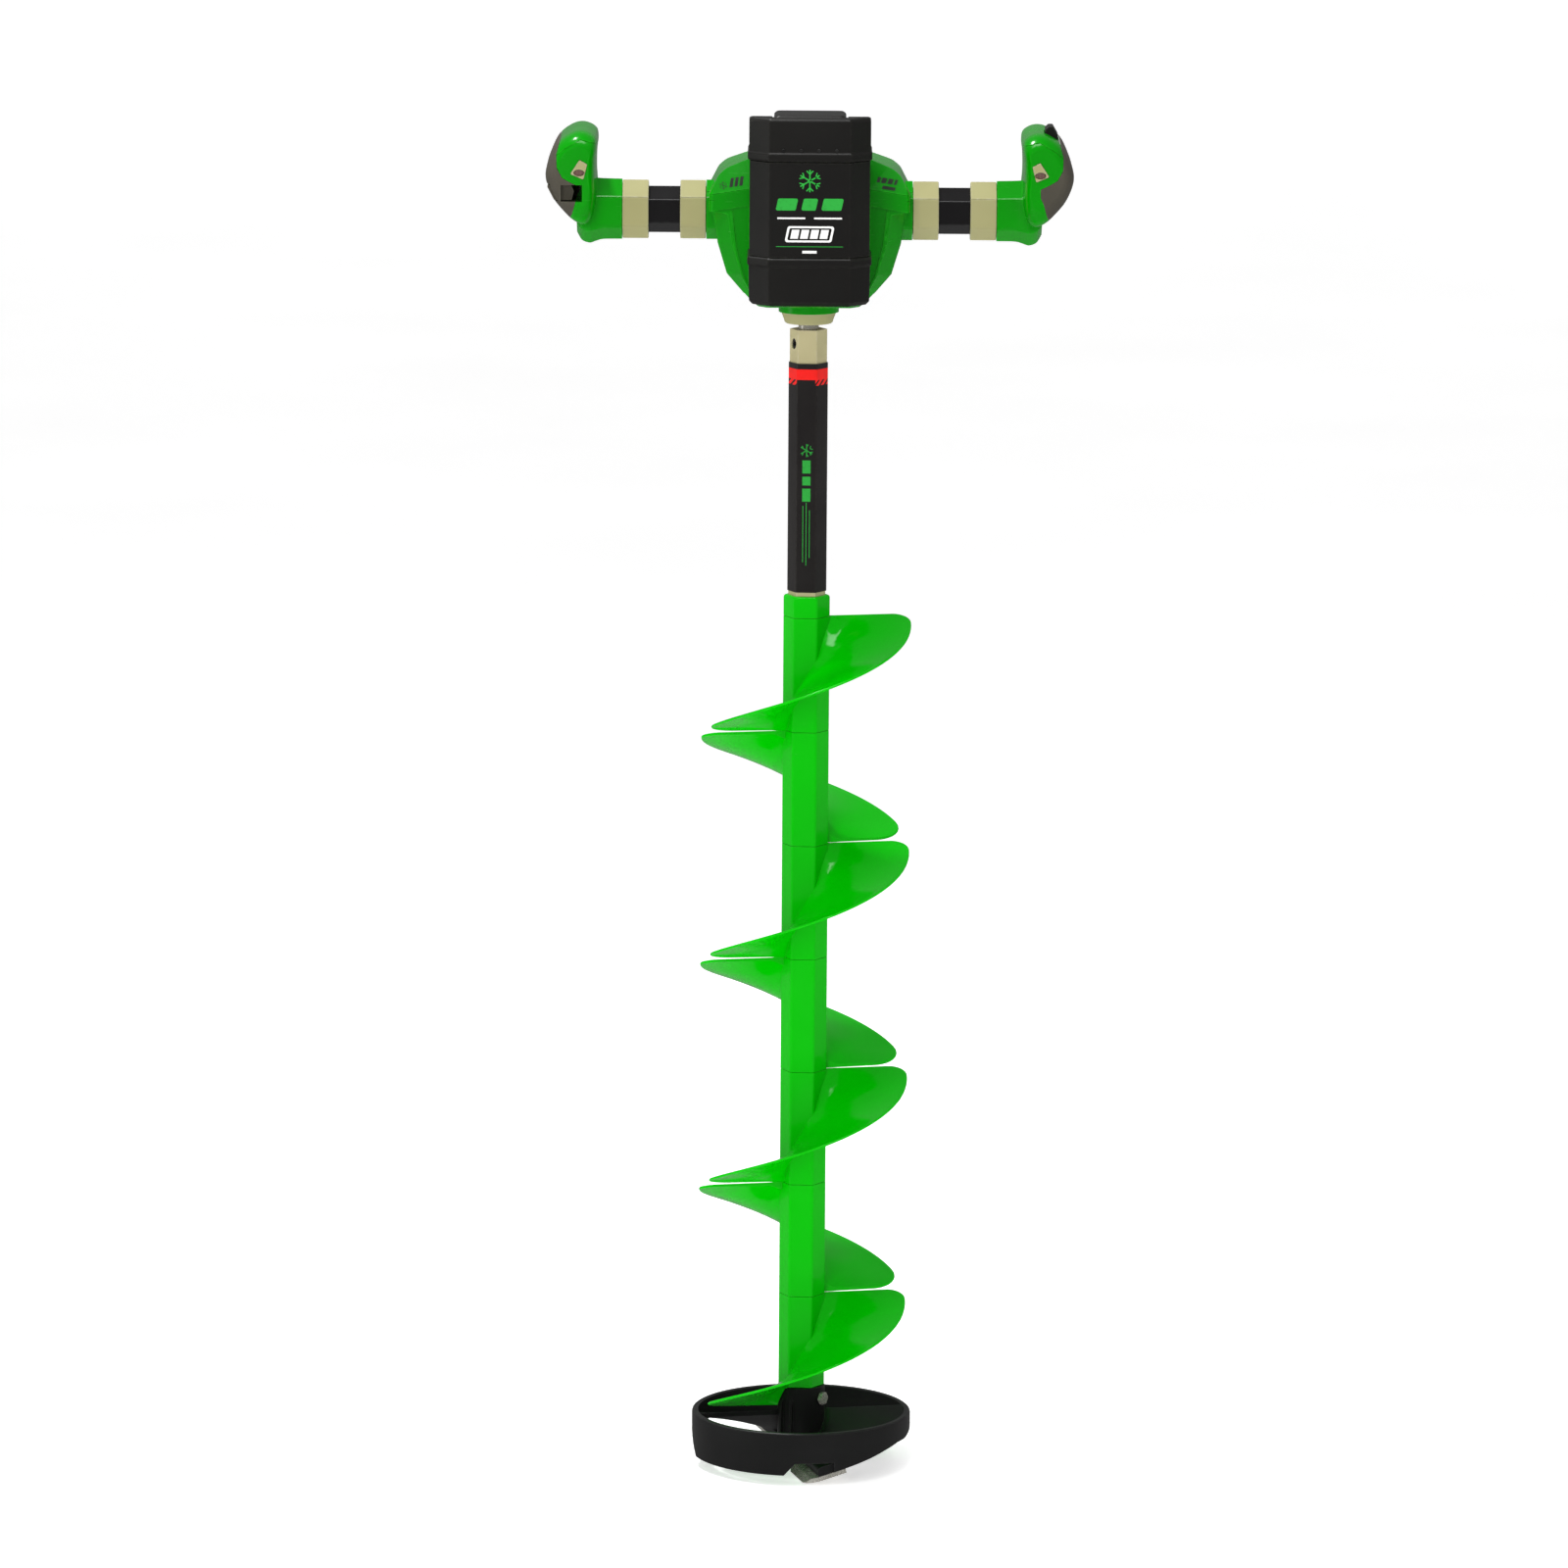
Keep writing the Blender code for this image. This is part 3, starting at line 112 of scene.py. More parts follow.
class Graph:
    """A material and short ways to add nodes to it."""

    def __init__(self, name, color, roughness, metallic=0.0):
        """A new material with one colour, ready for nodes."""
        self.material = bpy.data.materials.new(name)
        self.material.use_nodes = True
        self.tree = self.material.node_tree
        self.shader = self.tree.nodes["Principled BSDF"]
        self.set(self.shader, {"Base Color": (*color, 1.0), "Roughness": roughness, "Metallic": metallic})
        self.place = self.node("TexCoord").outputs["Object"]

    def feed(self, socket, value):
        """Links a socket to another one, or sets its own value."""
        if isinstance(value, bpy.types.NodeSocket):
            self.tree.links.new(value, socket)
        else:
            socket.default_value = value

    def set(self, node, values):
        """Feeds a node's named sockets."""
        for key, value in values.items():
            self.feed(node.inputs[key], value)

    def node(self, kind, values=None, **settings):
        """A new node with its settings and its sockets' values."""
        node = self.tree.nodes.new("ShaderNode" + kind)
        for key, value in settings.items():
            setattr(node, key, value)
        self.set(node, values or {})
        return node

    def noise(self, scale, detail=3.0, stretch=None):
        """Noise over the object, scale in features per metre, stretched along some axes."""
        place = self.place
        if stretch:
            place = self.node("Mapping", {"Vector": place, "Scale": stretch}).outputs["Vector"]
        return self.node("TexNoise", {"Vector": place, "Scale": scale, "Detail": detail}).outputs["Fac"]

    def cells(self, scale):
        """Distance to the nearest of many scattered points, for a pebbled grain."""
        return self.node("TexVoronoi", {"Vector": self.place, "Scale": scale}).outputs["Distance"]

    def span(self, value, low, high, to_low=0.0, to_high=1.0):
        """value between low and high, spread over to_low to to_high."""
        values = {"Value": value, "From Min": low, "From Max": high, "To Min": to_low, "To Max": to_high}
        return self.node("MapRange", values).outputs["Result"]

    def math(self, operation, a, b=0.0):
        """One sum of two numbers or sockets."""
        node = self.node("Math", operation=operation)
        for socket, value in zip(node.inputs, (a, b)):
            self.feed(socket, value)
        return node.outputs[0]

    def mix(self, factor, a, b):
        """A colour between a and b, each a colour or a socket."""
        node = self.node("Mix", data_type="RGBA")
        ends = [c if isinstance(c, bpy.types.NodeSocket) else (*c, 1.0) for c in (a, b)]
        for index, value in zip((0, 6, 7), (factor, *ends)):
            self.feed(node.inputs[index], value)
        return node.outputs[2]

    def bump(self, height, distance, strength=1.0, under=None):
        """A normal from heights of up to distance metres, over another bump if there is one."""
        node = self.node("Bump", {"Height": height, "Distance": distance, "Strength": strength})
        if under:
            self.feed(node.inputs["Normal"], under)
        return node.outputs["Normal"]

    def edges(self, radius=0.0016, low=0.004, high=0.06):
        """1 along sharp edges, broken up by noise: worn edges, and on the black plastic partly a painted
        highlight.
        """
        bevel = self.node("Bevel", {"Radius": radius}, samples=4).outputs["Normal"]
        true = self.node("NewGeometry").outputs["Normal"]
        along = self.node("VectorMath", operation="DOT_PRODUCT")
        self.feed(along.inputs[0], bevel)
        self.feed(along.inputs[1], true)
        sharp = self.span(self.math("SUBTRACT", 1.0, along.outputs["Value"]), low, high)
        return self.math("MULTIPLY", sharp, self.span(self.noise(240.0, 4.0), 0.3, 0.6))

    def finish(self, **values):
        """The material, with its shader fed."""
        names = {"color": "Base Color", "roughness": "Roughness", "normal": "Normal",
                 "specular": "Specular IOR Level"}
        self.set(self.shader, {names[key]: value for key, value in values.items()})
        return self.material


def moulded_green(name, deep, light, rough):
    """Glossy moulded plastic: slight colour drift, flow lines, fine orange peel and light scuffs."""
    g = Graph(name, light, rough)
    color = g.mix(g.span(g.noise(9.0, 2.0), 0.35, 0.65), deep, light)
    scuff = g.span(g.noise(60.0, 6.0, (1.0, 1.0, 9.0)), 0.64, 0.8)
    color = g.mix(g.math("MULTIPLY", scuff, 0.1), color, (0.03, 0.5, 0.03))
    color = g.mix(g.math("MULTIPLY", g.edges(), 0.35), color, (0.03, 0.6, 0.02))
    grain = g.bump(g.noise(2600.0, 2.0), 0.00001, 0.3)
    peel = g.bump(g.noise(120.0, 2.0), 0.00004, 0.25, grain)
    uneven = g.span(g.noise(35.0, 4.0), 0.3, 0.7, rough - 0.02, rough + 0.05)
    shine = g.math("ADD", uneven, g.math("MULTIPLY", scuff, 0.2))
    return g.finish(color=color, roughness=shine, normal=peel, specular=0.26)


def textured(name, dark, light, rough, grain_scale, grain_depth, edge_color=None, specular=0.3):
    """Moulded plastic or rubber with a spark-eroded grain, uneven shine and rubbed edges, on the black
    plastic partly a painted highlight.
    """
    g = Graph(name, dark, rough)
    color = g.mix(g.span(g.noise(14.0, 3.0), 0.3, 0.7), dark, light)
    if edge_color:
        # lighter edges: rubbed wear, and on the black plastic partly a painted highlight along its edges
        color = g.mix(g.math("MULTIPLY", g.edges(), 0.6), color, edge_color)
    pits = g.bump(g.cells(grain_scale), grain_depth, 0.5)
    pits = g.bump(g.noise(grain_scale * 1.7, 3.0), grain_depth, 0.4, pits)
    shine = g.span(g.noise(24.0, 4.0), 0.3, 0.7, rough - 0.025, rough + 0.035)
    return g.finish(color=color, roughness=shine, normal=pits, specular=specular)


def metal(name, dark, light, rough, along, lines):
    """Metal with fine lines from grinding or drawing, and a little uneven tarnish."""
    g = Graph(name, light, rough, 0.7)
    stretch = [1.0, 1.0, 1.0]
    stretch["XYZ".index(along)] = 0.03
    streaks = g.noise(lines, 4.0, stretch)
    color = g.mix(g.span(g.noise(40.0, 5.0), 0.35, 0.7), dark, light)
    color = g.mix(g.span(streaks, 0.4, 0.7, 0.0, 0.35), color, dark)
    shine = g.span(streaks, 0.3, 0.7, rough - 0.08, rough + 0.12)
    return g.finish(color=color, roughness=shine, normal=g.bump(streaks, 0.00002, 0.4))


def coated(name, dark, light, rough, edge_color, specular=0.4):
    """Powder coat or paint over metal: soft pebbling, and lighter rubbed edges."""
    g = Graph(name, light, rough)
    color = g.mix(g.span(g.noise(30.0, 4.0), 0.35, 0.7), dark, light)
    color = g.mix(g.math("MULTIPLY", g.edges(), 0.7), color, edge_color)
    pebble = g.bump(g.noise(700.0, 2.0), 0.00002, 0.4)
    shine = g.span(g.noise(30.0, 4.0), 0.3, 0.7, rough - 0.02, rough + 0.03)
    return g.finish(color=color, roughness=shine, normal=pebble, specular=specular)


def wrap_film(name):
    """Satin black film with a red band near its top and slanted bars under the band."""
    g = Graph(name, (0.015, 0.013, 0.013), 0.3)
    parts = g.node("SeparateXYZ", {"Vector": g.place}).outputs
    x, z = parts["X"], parts["Z"]
    band_top, band_foot, slash_foot = 1.0249, 1.0152, 1.0101
    band = g.math("MULTIPLY", g.math("LESS_THAN", z, band_top), g.math("GREATER_THAN", z, band_foot))
    slant = g.math("FRACT", g.math("MULTIPLY", g.math("SUBTRACT", x, g.math("MULTIPLY", z, 0.7)), 230.0))
    slashes = g.math("MULTIPLY", g.math("LESS_THAN", z, band_foot), g.math("GREATER_THAN", z, slash_foot))
    slashes = g.math("MULTIPLY", slashes, g.math("LESS_THAN", slant, 0.6))
    off_middle = g.math("ABSOLUTE", g.math("ADD", x, 0.002))
    slashes = g.math("MULTIPLY", slashes, g.math("GREATER_THAN", off_middle, 0.0085))
    black = g.mix(g.span(g.noise(26.0, 5.0), 0.35, 0.7), (0.009, 0.007, 0.007), (0.013, 0.011, 0.0105))
    black = g.mix(g.math("MULTIPLY", g.edges(), 0.5), black, (0.07, 0.065, 0.055))
    red = g.mix(g.span(g.noise(80.0, 3.0), 0.4, 0.7), (0.95, 0.004, 0.001), (0.85, 0.006, 0.002))
    color = g.mix(g.math("MAXIMUM", band, slashes), black, red)
    film = g.bump(g.noise(900.0, 2.0), 0.00002, 0.4)
    shine = g.span(g.noise(30.0, 4.0), 0.3, 0.7, 0.29, 0.35)
    return g.finish(color=color, roughness=shine, normal=film, specular=0.4)


def printed(name, color, worn):
    """Screen-printed ink, a little thin in places."""
    g = Graph(name, color, 0.45)
    ink = g.mix(g.span(g.noise(420.0, 5.0), 0.55, 0.75, 0.0, 0.4), color, worn)
    shine = g.span(g.noise(90.0, 3.0), 0.3, 0.7, 0.4, 0.52)
    film = g.bump(g.noise(1500.0, 2.0), 0.00001, 0.4)
    return g.finish(color=ink, roughness=shine, normal=film, specular=0.3)


def smoked_lens(name):
    """Dark red-brown lens over upright flutes."""
    g = Graph(name, (0.09, 0.05, 0.035), 0.08)
    flutes = g.node("TexWave", {"Vector": g.place, "Scale": 260.0, "Distortion": 0.0}).outputs["Fac"]
    color = g.mix(flutes, (0.04, 0.022, 0.018), (0.2, 0.11, 0.09))
    return g.finish(color=color, normal=g.bump(flutes, 0.0001, 0.5))


# slot, how its material is made, and the colours and sizes that this takes
FINISHES = (
    ("green_plastic", moulded_green, (0.0, 0.225, 0.0), (0.0, 0.26, 0.0), 0.2),
    ("screw_green", moulded_green, (0.0, 0.48, 0.0), (0.0, 0.53, 0.0), 0.1),
    ("cream_plastic", textured, (0.32, 0.3, 0.135), (0.355, 0.335, 0.16), 0.5, 1400.0, 0.00003,
     (0.5, 0.48, 0.36)),
    ("cream_metal", coated, (0.47, 0.415, 0.225), (0.52, 0.46, 0.255), 0.4, (0.65, 0.6, 0.48)),
    # black plastic: its lighter edge colour is rubbed wear and partly a painted highlight along the battery's
    # edges
    ("black_plastic", textured, (0.006, 0.0055, 0.005), (0.0085, 0.008, 0.007), 0.42, 1500.0, 0.00004,
     (0.06, 0.062, 0.048)),
    ("bar_black", coated, (0.003, 0.0026, 0.003), (0.0045, 0.004, 0.0045), 0.2, (0.05, 0.05, 0.05), 0.42),
    ("wrap_black", wrap_film),
    ("carrier_black", textured, (0.006, 0.006, 0.006), (0.009, 0.009, 0.009), 0.44, 1100.0, 0.00004,
     (0.04, 0.04, 0.04)),
    ("grip_rubber", textured, (0.055, 0.049, 0.036), (0.075, 0.067, 0.05), 0.6, 900.0, 0.00006,
     (0.13, 0.12, 0.095)),
    ("bright_steel", metal, (0.5, 0.48, 0.42), (0.82, 0.8, 0.72), 0.24, "X", 2400.0),
    ("dark_steel", metal, (0.02, 0.02, 0.02), (0.05, 0.05, 0.048), 0.38, "Z", 1500.0),
    ("cast_aluminium", metal, (0.42, 0.42, 0.41), (0.62, 0.62, 0.6), 0.46, "Z", 500.0),
    ("circuit_board", textured, (0.01, 0.1, 0.035), (0.02, 0.16, 0.06), 0.4, 1800.0, 0.00003),
    ("cell_wrap", textured, (0.05, 0.13, 0.4), (0.08, 0.2, 0.5), 0.35, 2000.0, 0.00001),
    ("lamp_lens", smoked_lens),
)
MATERIALS = {slot: build(slot, *values) for slot, build, *values in FINISHES}
INK_GREEN = printed("ink_green", (0.02, 0.36, 0.04), (0.01, 0.16, 0.02))
INK_WHITE = printed("ink_white", (0.85, 0.85, 0.83), (0.5, 0.5, 0.48))
INK_BLACK = printed("ink_black", (0.004, 0.012, 0.004), (0.006, 0.06, 0.008))


# ---------------------------------------------------------------- outlines


def circle(radius, steps, centre=(0.0, 0.0)):
    """A circle's points."""
    angles = [2 * pi * k / steps for k in range(steps)]
    return [(centre[0] + radius * cos(a), centre[1] + radius * sin(a)) for a in angles]


def rounded(corners, radius, steps=5):
    """A polygon's outline with its corners rounded by arcs."""
    outline = []
    count = len(corners)
    for i, point in enumerate(corners):
        corner = Vector(point)
        before = Vector(corners[i - 1]) - corner
        after = Vector(corners[(i + 1) % count]) - corner
        half = before.angle(after) / 2
        reach = min(radius / tan(half), 0.45 * min(before.length, after.length))
        middle = (before.normalized() + after.normalized()).normalized()
        centre = corner + middle * (reach / cos(half))
        first = corner + before.normalized() * reach - centre
        last = corner + after.normalized() * reach - centre
        turn = atan2(first.x * last.y - first.y * last.x, first.dot(last))
        for k in range(steps + 1):
            spoke = Matrix.Rotation(turn * k / steps, 2) @ first
            outline.append((centre.x + spoke.x, centre.y + spoke.y))
    return outline


def hexagon(corner_radius, turn=0.0, rounding=0.0, centre=(0.0, 0.0)):
    """A hexagon's outline, with its first corner turned by that many degrees."""
    angles = [radians(turn + 60 * k) for k in range(6)]
    corners = [(centre[0] + corner_radius * cos(a), centre[1] + corner_radius * sin(a)) for a in angles]
    return rounded(corners, rounding) if rounding else corners


def curve_point(p0, p1, p2, p3, t):
    """A point of the Catmull-Rom curve from p1 to p2."""
    return 0.5 * (
        2 * p1 + (p2 - p0) * t + (2 * p0 - 5 * p1 + 4 * p2 - p3) * t**2
        + (3 * p1 - p0 - 3 * p2 + p3) * t**3
    )


def smooth_loop(points, per_span):
    """A closed smooth curve through the points."""
    loop = []
    count = len(points)
    for i in range(count):
        nearby = [Vector(points[(i + k) % count]) for k in (-1, 0, 1, 2)]
        loop += [tuple(curve_point(*nearby, k / per_span)) for k in range(per_span)]
    return loop


def between(stations, per_span):
    """Rows of numbers with smooth rows put between them."""
    rows = []
    last = len(stations) - 1
    for i in range(last):
        nearby = [Vector(stations[max(0, min(last, i + k))]) for k in (-1, 0, 1, 2)]
        rows += [tuple(curve_point(*nearby, k / per_span)) for k in range(per_span)]
    rows.append(tuple(stations[-1]))
    return rows


def polar(azimuth, radius, z=0.0):
    """A point from its azimuth in degrees, radius and height."""
    return Vector((radius * cos(radians(azimuth)), radius * sin(radians(azimuth)), z))


def at(axis, u, v, w):
    """The point (u, v) of an outline, w along the axis square to it."""
    return {"X": (w, u, v), "Y": (u, w, v), "Z": (u, v, w)}[axis]


def across(axis):
    """Two unit vectors square to an axis and to each other."""
    side = axis.orthogonal().normalized()
    return side, axis.cross(side)


def placed(right, up, out, origin):
    """The matrix with three axes and an origin as its columns."""
    return Matrix([(*right, 0.0), (*up, 0.0), (*out, 0.0), (*origin, 1.0)]).transposed()


# ---------------------------------------------------------------- meshes


def add(name, data):
    """A new object in the scene."""
    obj = bpy.data.objects.new(name, data)
    bpy.context.scene.collection.objects.link(obj)
    return obj


def make(name, bm):
    """An object from a mesh in millimetres."""
    bmesh.ops.recalc_face_normals(bm, faces=bm.faces)
    bmesh.ops.scale(bm, verts=bm.verts, vec=(MM, MM, MM))
    mesh = bpy.data.meshes.new(name)
    bm.to_mesh(mesh)
    bm.free()
    return add(name, mesh)


def loft(name, rings, closed=False):
    """A solid skinned over rings of points, capped unless it closes on itself."""
    bm = bmesh.new()
    loops = [[bm.verts.new(p) for p in ring] for ring in rings]
    pairs = list(zip(loops, loops[1:]))
    if closed:
        pairs.append((loops[-1], loops[0]))
    for low, high in pairs:
        for i in range(len(low)):
            j = (i + 1) % len(low)
            bm.faces.new((low[i], low[j], high[j], high[i]))
    if not closed:
        bm.faces.new(loops[0])
        bm.faces.new(loops[-1])
    return make(name, bm)


def prism(name, outline, axis, low, high):
    """An outline extruded along an axis between two levels."""
    return loft(name, [[at(axis, u, v, w) for u, v in outline] for w in (low, high)])


def tube(name, outer, inner, axis, low, high, chamfer):
    """A tube with eased ends between two outlines that have the same number of points."""
    cu = sum(p[0] for p in outer) / len(outer)
    cv = sum(p[1] for p in outer) / len(outer)

    def shrunk(by):
        """The outer outline drawn in towards its middle."""
        points = []
        for u, v in outer:
            reach = hypot(u - cu, v - cv)
            points.append((u - by * (u - cu) / reach, v - by * (v - cv) / reach))
        return points

    halfway = 0.29 * chamfer  # an arc of that radius is this far in when it is half way round
    levels = (
        (shrunk(chamfer), low), (shrunk(halfway), low + halfway), (outer, low + chamfer),
        (outer, high - chamfer), (shrunk(halfway), high - halfway), (shrunk(chamfer), high),
        (inner, high), (inner, low),
    )
    return loft(name, [[at(axis, u, v, w) for u, v in ring] for ring, w in levels], closed=True)


def turned(name, profile):
    """A ring turned about Z from a closed profile of (radius, height)."""
    rings = [[(r * u, r * v, z) for r, z in profile] for u, v in circle(1.0, 96)]
    return loft(name, rings, closed=True)


def rod(name, start, direction, length, radius):
    """A round rod from a point in any direction."""
    axis = Vector(direction).normalized()
    side, other = across(axis)
    rings = []
    for reach in (0.0, length):
        centre = Vector(start) + axis * reach
        rings.append([centre + radius * (side * u + other * v) for u, v in circle(1.0, 32)])
    return loft(name, rings)


def block(name, low, high):
    """A box between two corners."""
    corners = [(low[0], low[1]), (high[0], low[1]), (high[0], high[1]), (low[0], high[1])]
    return prism(name, corners, "Z", low[2], high[2])


def bake(obj):
    """Applies the object's modifiers."""
    bpy.context.view_layer.update()
    mesh = bpy.data.meshes.new_from_object(obj.evaluated_get(bpy.context.evaluated_depsgraph_get()))
    obj.modifiers.clear()
    obj.data = mesh
    return obj


def combine(target, tools, operation):
    """Joins, cuts or trims the target with the tools, which are used up."""
    for tool in tools:
        modifier = target.modifiers.new(operation, "BOOLEAN")
        modifier.operation = operation
        modifier.object = tool
        modifier.solver = "EXACT"
    bake(target)
    for tool in tools:
        bpy.data.objects.remove(tool)
    return target


def join(target, *tools):
    """The target and the tools as one body."""
    return combine(target, tools, "UNION")


def cut(target, *tools):
    """The target without what the tools fill."""
    return combine(target, tools, "DIFFERENCE")


def keep(target, *tools):
    """What the target and the tools both fill."""
    return combine(target, tools, "INTERSECT")


def shade(obj):
    """Shades an object smooth except at its sharper edges."""
    obj.data.shade_smooth()
    obj.data.set_sharp_from_angle(angle=radians(CREASE))
    obj.modifiers.new("normals", "WEIGHTED_NORMAL").keep_sharp = True
    return bake(obj)


def soften(obj, width, segments=2):
    """Rounds the sharper edges if there is a width, and shades the object."""
    bm = bmesh.new()
    bm.from_mesh(obj.data)
    bmesh.ops.remove_doubles(bm, verts=bm.verts, dist=2e-6)
    bmesh.ops.dissolve_limit(bm, angle_limit=radians(0.4), verts=bm.verts, edges=bm.edges)
    bm.to_mesh(obj.data)
    bm.free()
    if width:
        modifier = obj.modifiers.new("edges", "BEVEL")
        modifier.width = width * MM
        modifier.segments = segments
        modifier.limit_method = "ANGLE"
        modifier.angle_limit = radians(28)
        modifier.miter_outer = "MITER_ARC"
        bake(obj)
    return shade(obj)


def dress(obj, material):
    """Gives an object one material."""
    obj.data.materials.clear()
    obj.data.materials.append(material)


def detail(obj, body, slot, material=None):
    """Puts a piece on a body, with a slot's finish or an ink of its own."""
    dress(obj, material or MATERIALS[slot])
    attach(obj, body)


def stand_for(obj, node):
    """Gives a new piece its node's body, slot and material, and hides the node."""
    detail(obj, BODY_OF[node], SLOT_OF[node])
    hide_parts(node)


def settle(obj, node):
    """Cleans and shades a new piece, and puts it in its node's place."""
    soften(obj, 0)
    stand_for(obj, node)


def refined(node, width, segments):
    """The node's own shape with rounded edges."""
    obj = add(f"fine_{node}", frame["nodes"][node].data.copy())
    soften(obj, width, segments)
    stand_for(obj, node)


# ---------------------------------------------------------------- screw


def corner_pull(distance, radius):
    """How far a round corner draws the edge in at that distance from the end."""
    if distance >= radius:
        return 0.0
    return radius - sqrt(radius**2 - (radius - distance) ** 2)


def sheet_angles():
    """Angles along a half turn, close together at the round corners."""
    edge = 180 / pi / FLIGHT_RADIUS
    shares = [0.004 + k * k / 82 for k in range(10)]
    starts = [START_CORNER * edge * share for share in shares]
    ends = [180 - END_CORNER * edge * share for share in reversed(shares)]
    middle = [starts[-1] + k * (ends[0] - starts[-1]) / 44 for k in range(1, 44)]
    return starts + middle + ends


def sheet_tip(angle):
    """The sheet's outer radius where it has turned by that angle."""
    from_start, from_end = radians(angle) * FLIGHT_RADIUS, radians(180 - angle) * FLIGHT_RADIUS
    return FLIGHT_RADIUS - corner_pull(from_start, START_CORNER) - corner_pull(from_end, END_CORNER)


def sheet_profile(tip, root, dish_share):
    """Points (radius, height of the face) from the root out, for the top and the bottom face."""
    fillet_foot, fillet_reach, fillet_above, fillet_below = 20.0, 13.0, 6.5, 5.0
    reach = tip - root
    top, bottom = [], []
    for share in [k / 14 for k in range(15)]:
        radius = root + share * (reach - RIM_ROUND)
        off_sleeve = max(0.0, radius - fillet_foot)
        fillet = max(0.0, 1 - off_sleeve / fillet_reach) ** 2
        dish = -SHEET_DISH * dish_share * sin(pi * share)
        thick = SHEET - SHEET_THINNING * share
        top.append((radius, dish + fillet_above * fillet))
        bottom.append((radius, dish - thick - fillet_below * fillet))
    half = (SHEET - SHEET_THINNING) / 2
    rim = [(tip - RIM_ROUND + RIM_ROUND * sin(pi * k / 6), -half + half * cos(pi * k / 6))
           for k in range(1, 6)]
    return top + rim + bottom[::-1]


def sheet(top, foot, root_for):
    """A half turn of the screw's sheet, falling clockwise, with fillets where it meets the sleeve."""
    drop = PITCH - SHEET - 2 * JOINT_GAP
    rings = []
    for angle in sheet_angles():
        z = top - JOINT_GAP - drop * angle / 180
        dish_share = min(1.0, min(angle, 180 - angle) / DISH_RUN_IN)
        profile = sheet_profile(sheet_tip(angle), root_for(z), dish_share)
        levels = [min(top - JOINT_GAP, max(foot + JOINT_GAP, z + height)) for _, height in profile]
        rings.append([polar(-angle, radius, level) for (radius, _), level in zip(profile, levels)])
    return loft("sheet", rings)


def half_turn(name, top, foot, start, root_for=lambda z: SHEET_ROOT):
    """Sleeve and sheet as one moulding, in the frame where the sheet starts at azimuth 0."""
    outer = hexagon(SLEEVE_HEX, HEX_TURN - start, 3.0)
    inner = hexagon(TUBE_HEX + GAP, HEX_TURN - start, 0.6)
    body = tube(name, outer, inner, "Z", foot, top, 0.35)
    return shade(join(body, sheet(top, top - PITCH, root_for)))


def screw():
    """Six equal half turns, the last one that meets the cutting head, and the cap."""
    first = half_turn("screw_pattern", FLIGHT_TOP, FLIGHT_TOP - PITCH + GAP, FIRST_JOINT)
    for index in range(SEGMENTS - 1):
        segment = add(f"screw_segment_{index + 1}", first.data.copy())
        turn = Matrix.Rotation(radians(FIRST_JOINT + 180 * index), 4, "Z")
        segment.data.transform(Matrix.Translation((0, 0, -index * PITCH * MM)) @ turn)
        stand_for(segment, f"flight_{index + 1}")
    bpy.data.objects.remove(first)
    top = FLIGHT_TOP - (SEGMENTS - 1) * PITCH
    start = FIRST_JOINT + 180 * (SEGMENTS - 1)
    last_foot = HUB_TOP + GAP
    last = half_turn(
        f"screw_segment_{SEGMENTS}", top, last_foot, start,
        lambda z: HUB_RADIUS + 1.0 if z - SHEET - SHEET_DISH < last_foot else SHEET_ROOT)
    last.data.transform(Matrix.Rotation(radians(start), 4, "Z"))
    stand_for(last, f"flight_{SEGMENTS}")
    screw_cap()


def screw_cap():
    """The collar with a rounded shoulder on top of the screw."""
    low, high = CAP_LOW.z, CAP_HIGH.z
    levels = ((0.35, low), (0.0, low + 0.35), (0.0, high - 2.6), (0.35, high - 1.3), (1.0, high - 0.5),
              (2.2, high))
    rings = [[(*p, z) for p in hexagon(SLEEVE_HEX - d, HEX_TURN, 3.0)] for d, z in levels]
    inner = hexagon(TUBE_HEX + GAP, HEX_TURN, 0.6)
    rings += [[(*p, z) for p in inner] for z in (high, low)]
    settle(loft("screw_cap", rings, closed=True), "flight_cap")


# ---------------------------------------------------------------- cutting head


# azimuth and height along the ring's lower edge
RING_EDGE = (
    (-180, 33.0), (-164, 9.0), (-99, 9.0), (-93, 20.5), (-72.5, 20.5), (-72.2, 11.6),
    (-64.5, 14.9), (-50, 20.7), (-40, 24.8), (-28, 28.5), (-18, 28.5), (0, 33.0),
    (22, 33.0), (34, 9.0), (81, 9.0), (87, 20.5), (107.5, 20.5), (107.8, 11.6),
    (115.5, 14.9), (130, 20.7), (140, 24.8), (152, 28.5), (162, 28.5), (180, 33.0),
)
RING_WALL = 6.0
RAMP_SWEEP = 73.0
RAMP_FALL = 27.5
RAMP_THICKNESS = 4.5
BLADE_AZIMUTHS = (-75.0, 105.0)
BLADE_TILT = 15.0
BLADE_LEAD = 22.0  # from the line that a blade turns about to its cutting edge
BLADE_TOP = 4.3
BLADE_SCREW_REACHES = (45.0, 78.0)
BLADE_SCREW_CHORD = 5.0
PAD_TOP = 12.3
PAD_REACHES = (19.0, 98.0)


def ring_bottom(azimuth):
    """Height of the ring's lower edge at an azimuth from -180 to 180."""
    for (a0, z0), (a1, z1) in zip(RING_EDGE, RING_EDGE[1:]):
        if a0 <= azimuth <= a1:
            return z0 + (z1 - z0) * (azimuth - a0) / (a1 - a0)


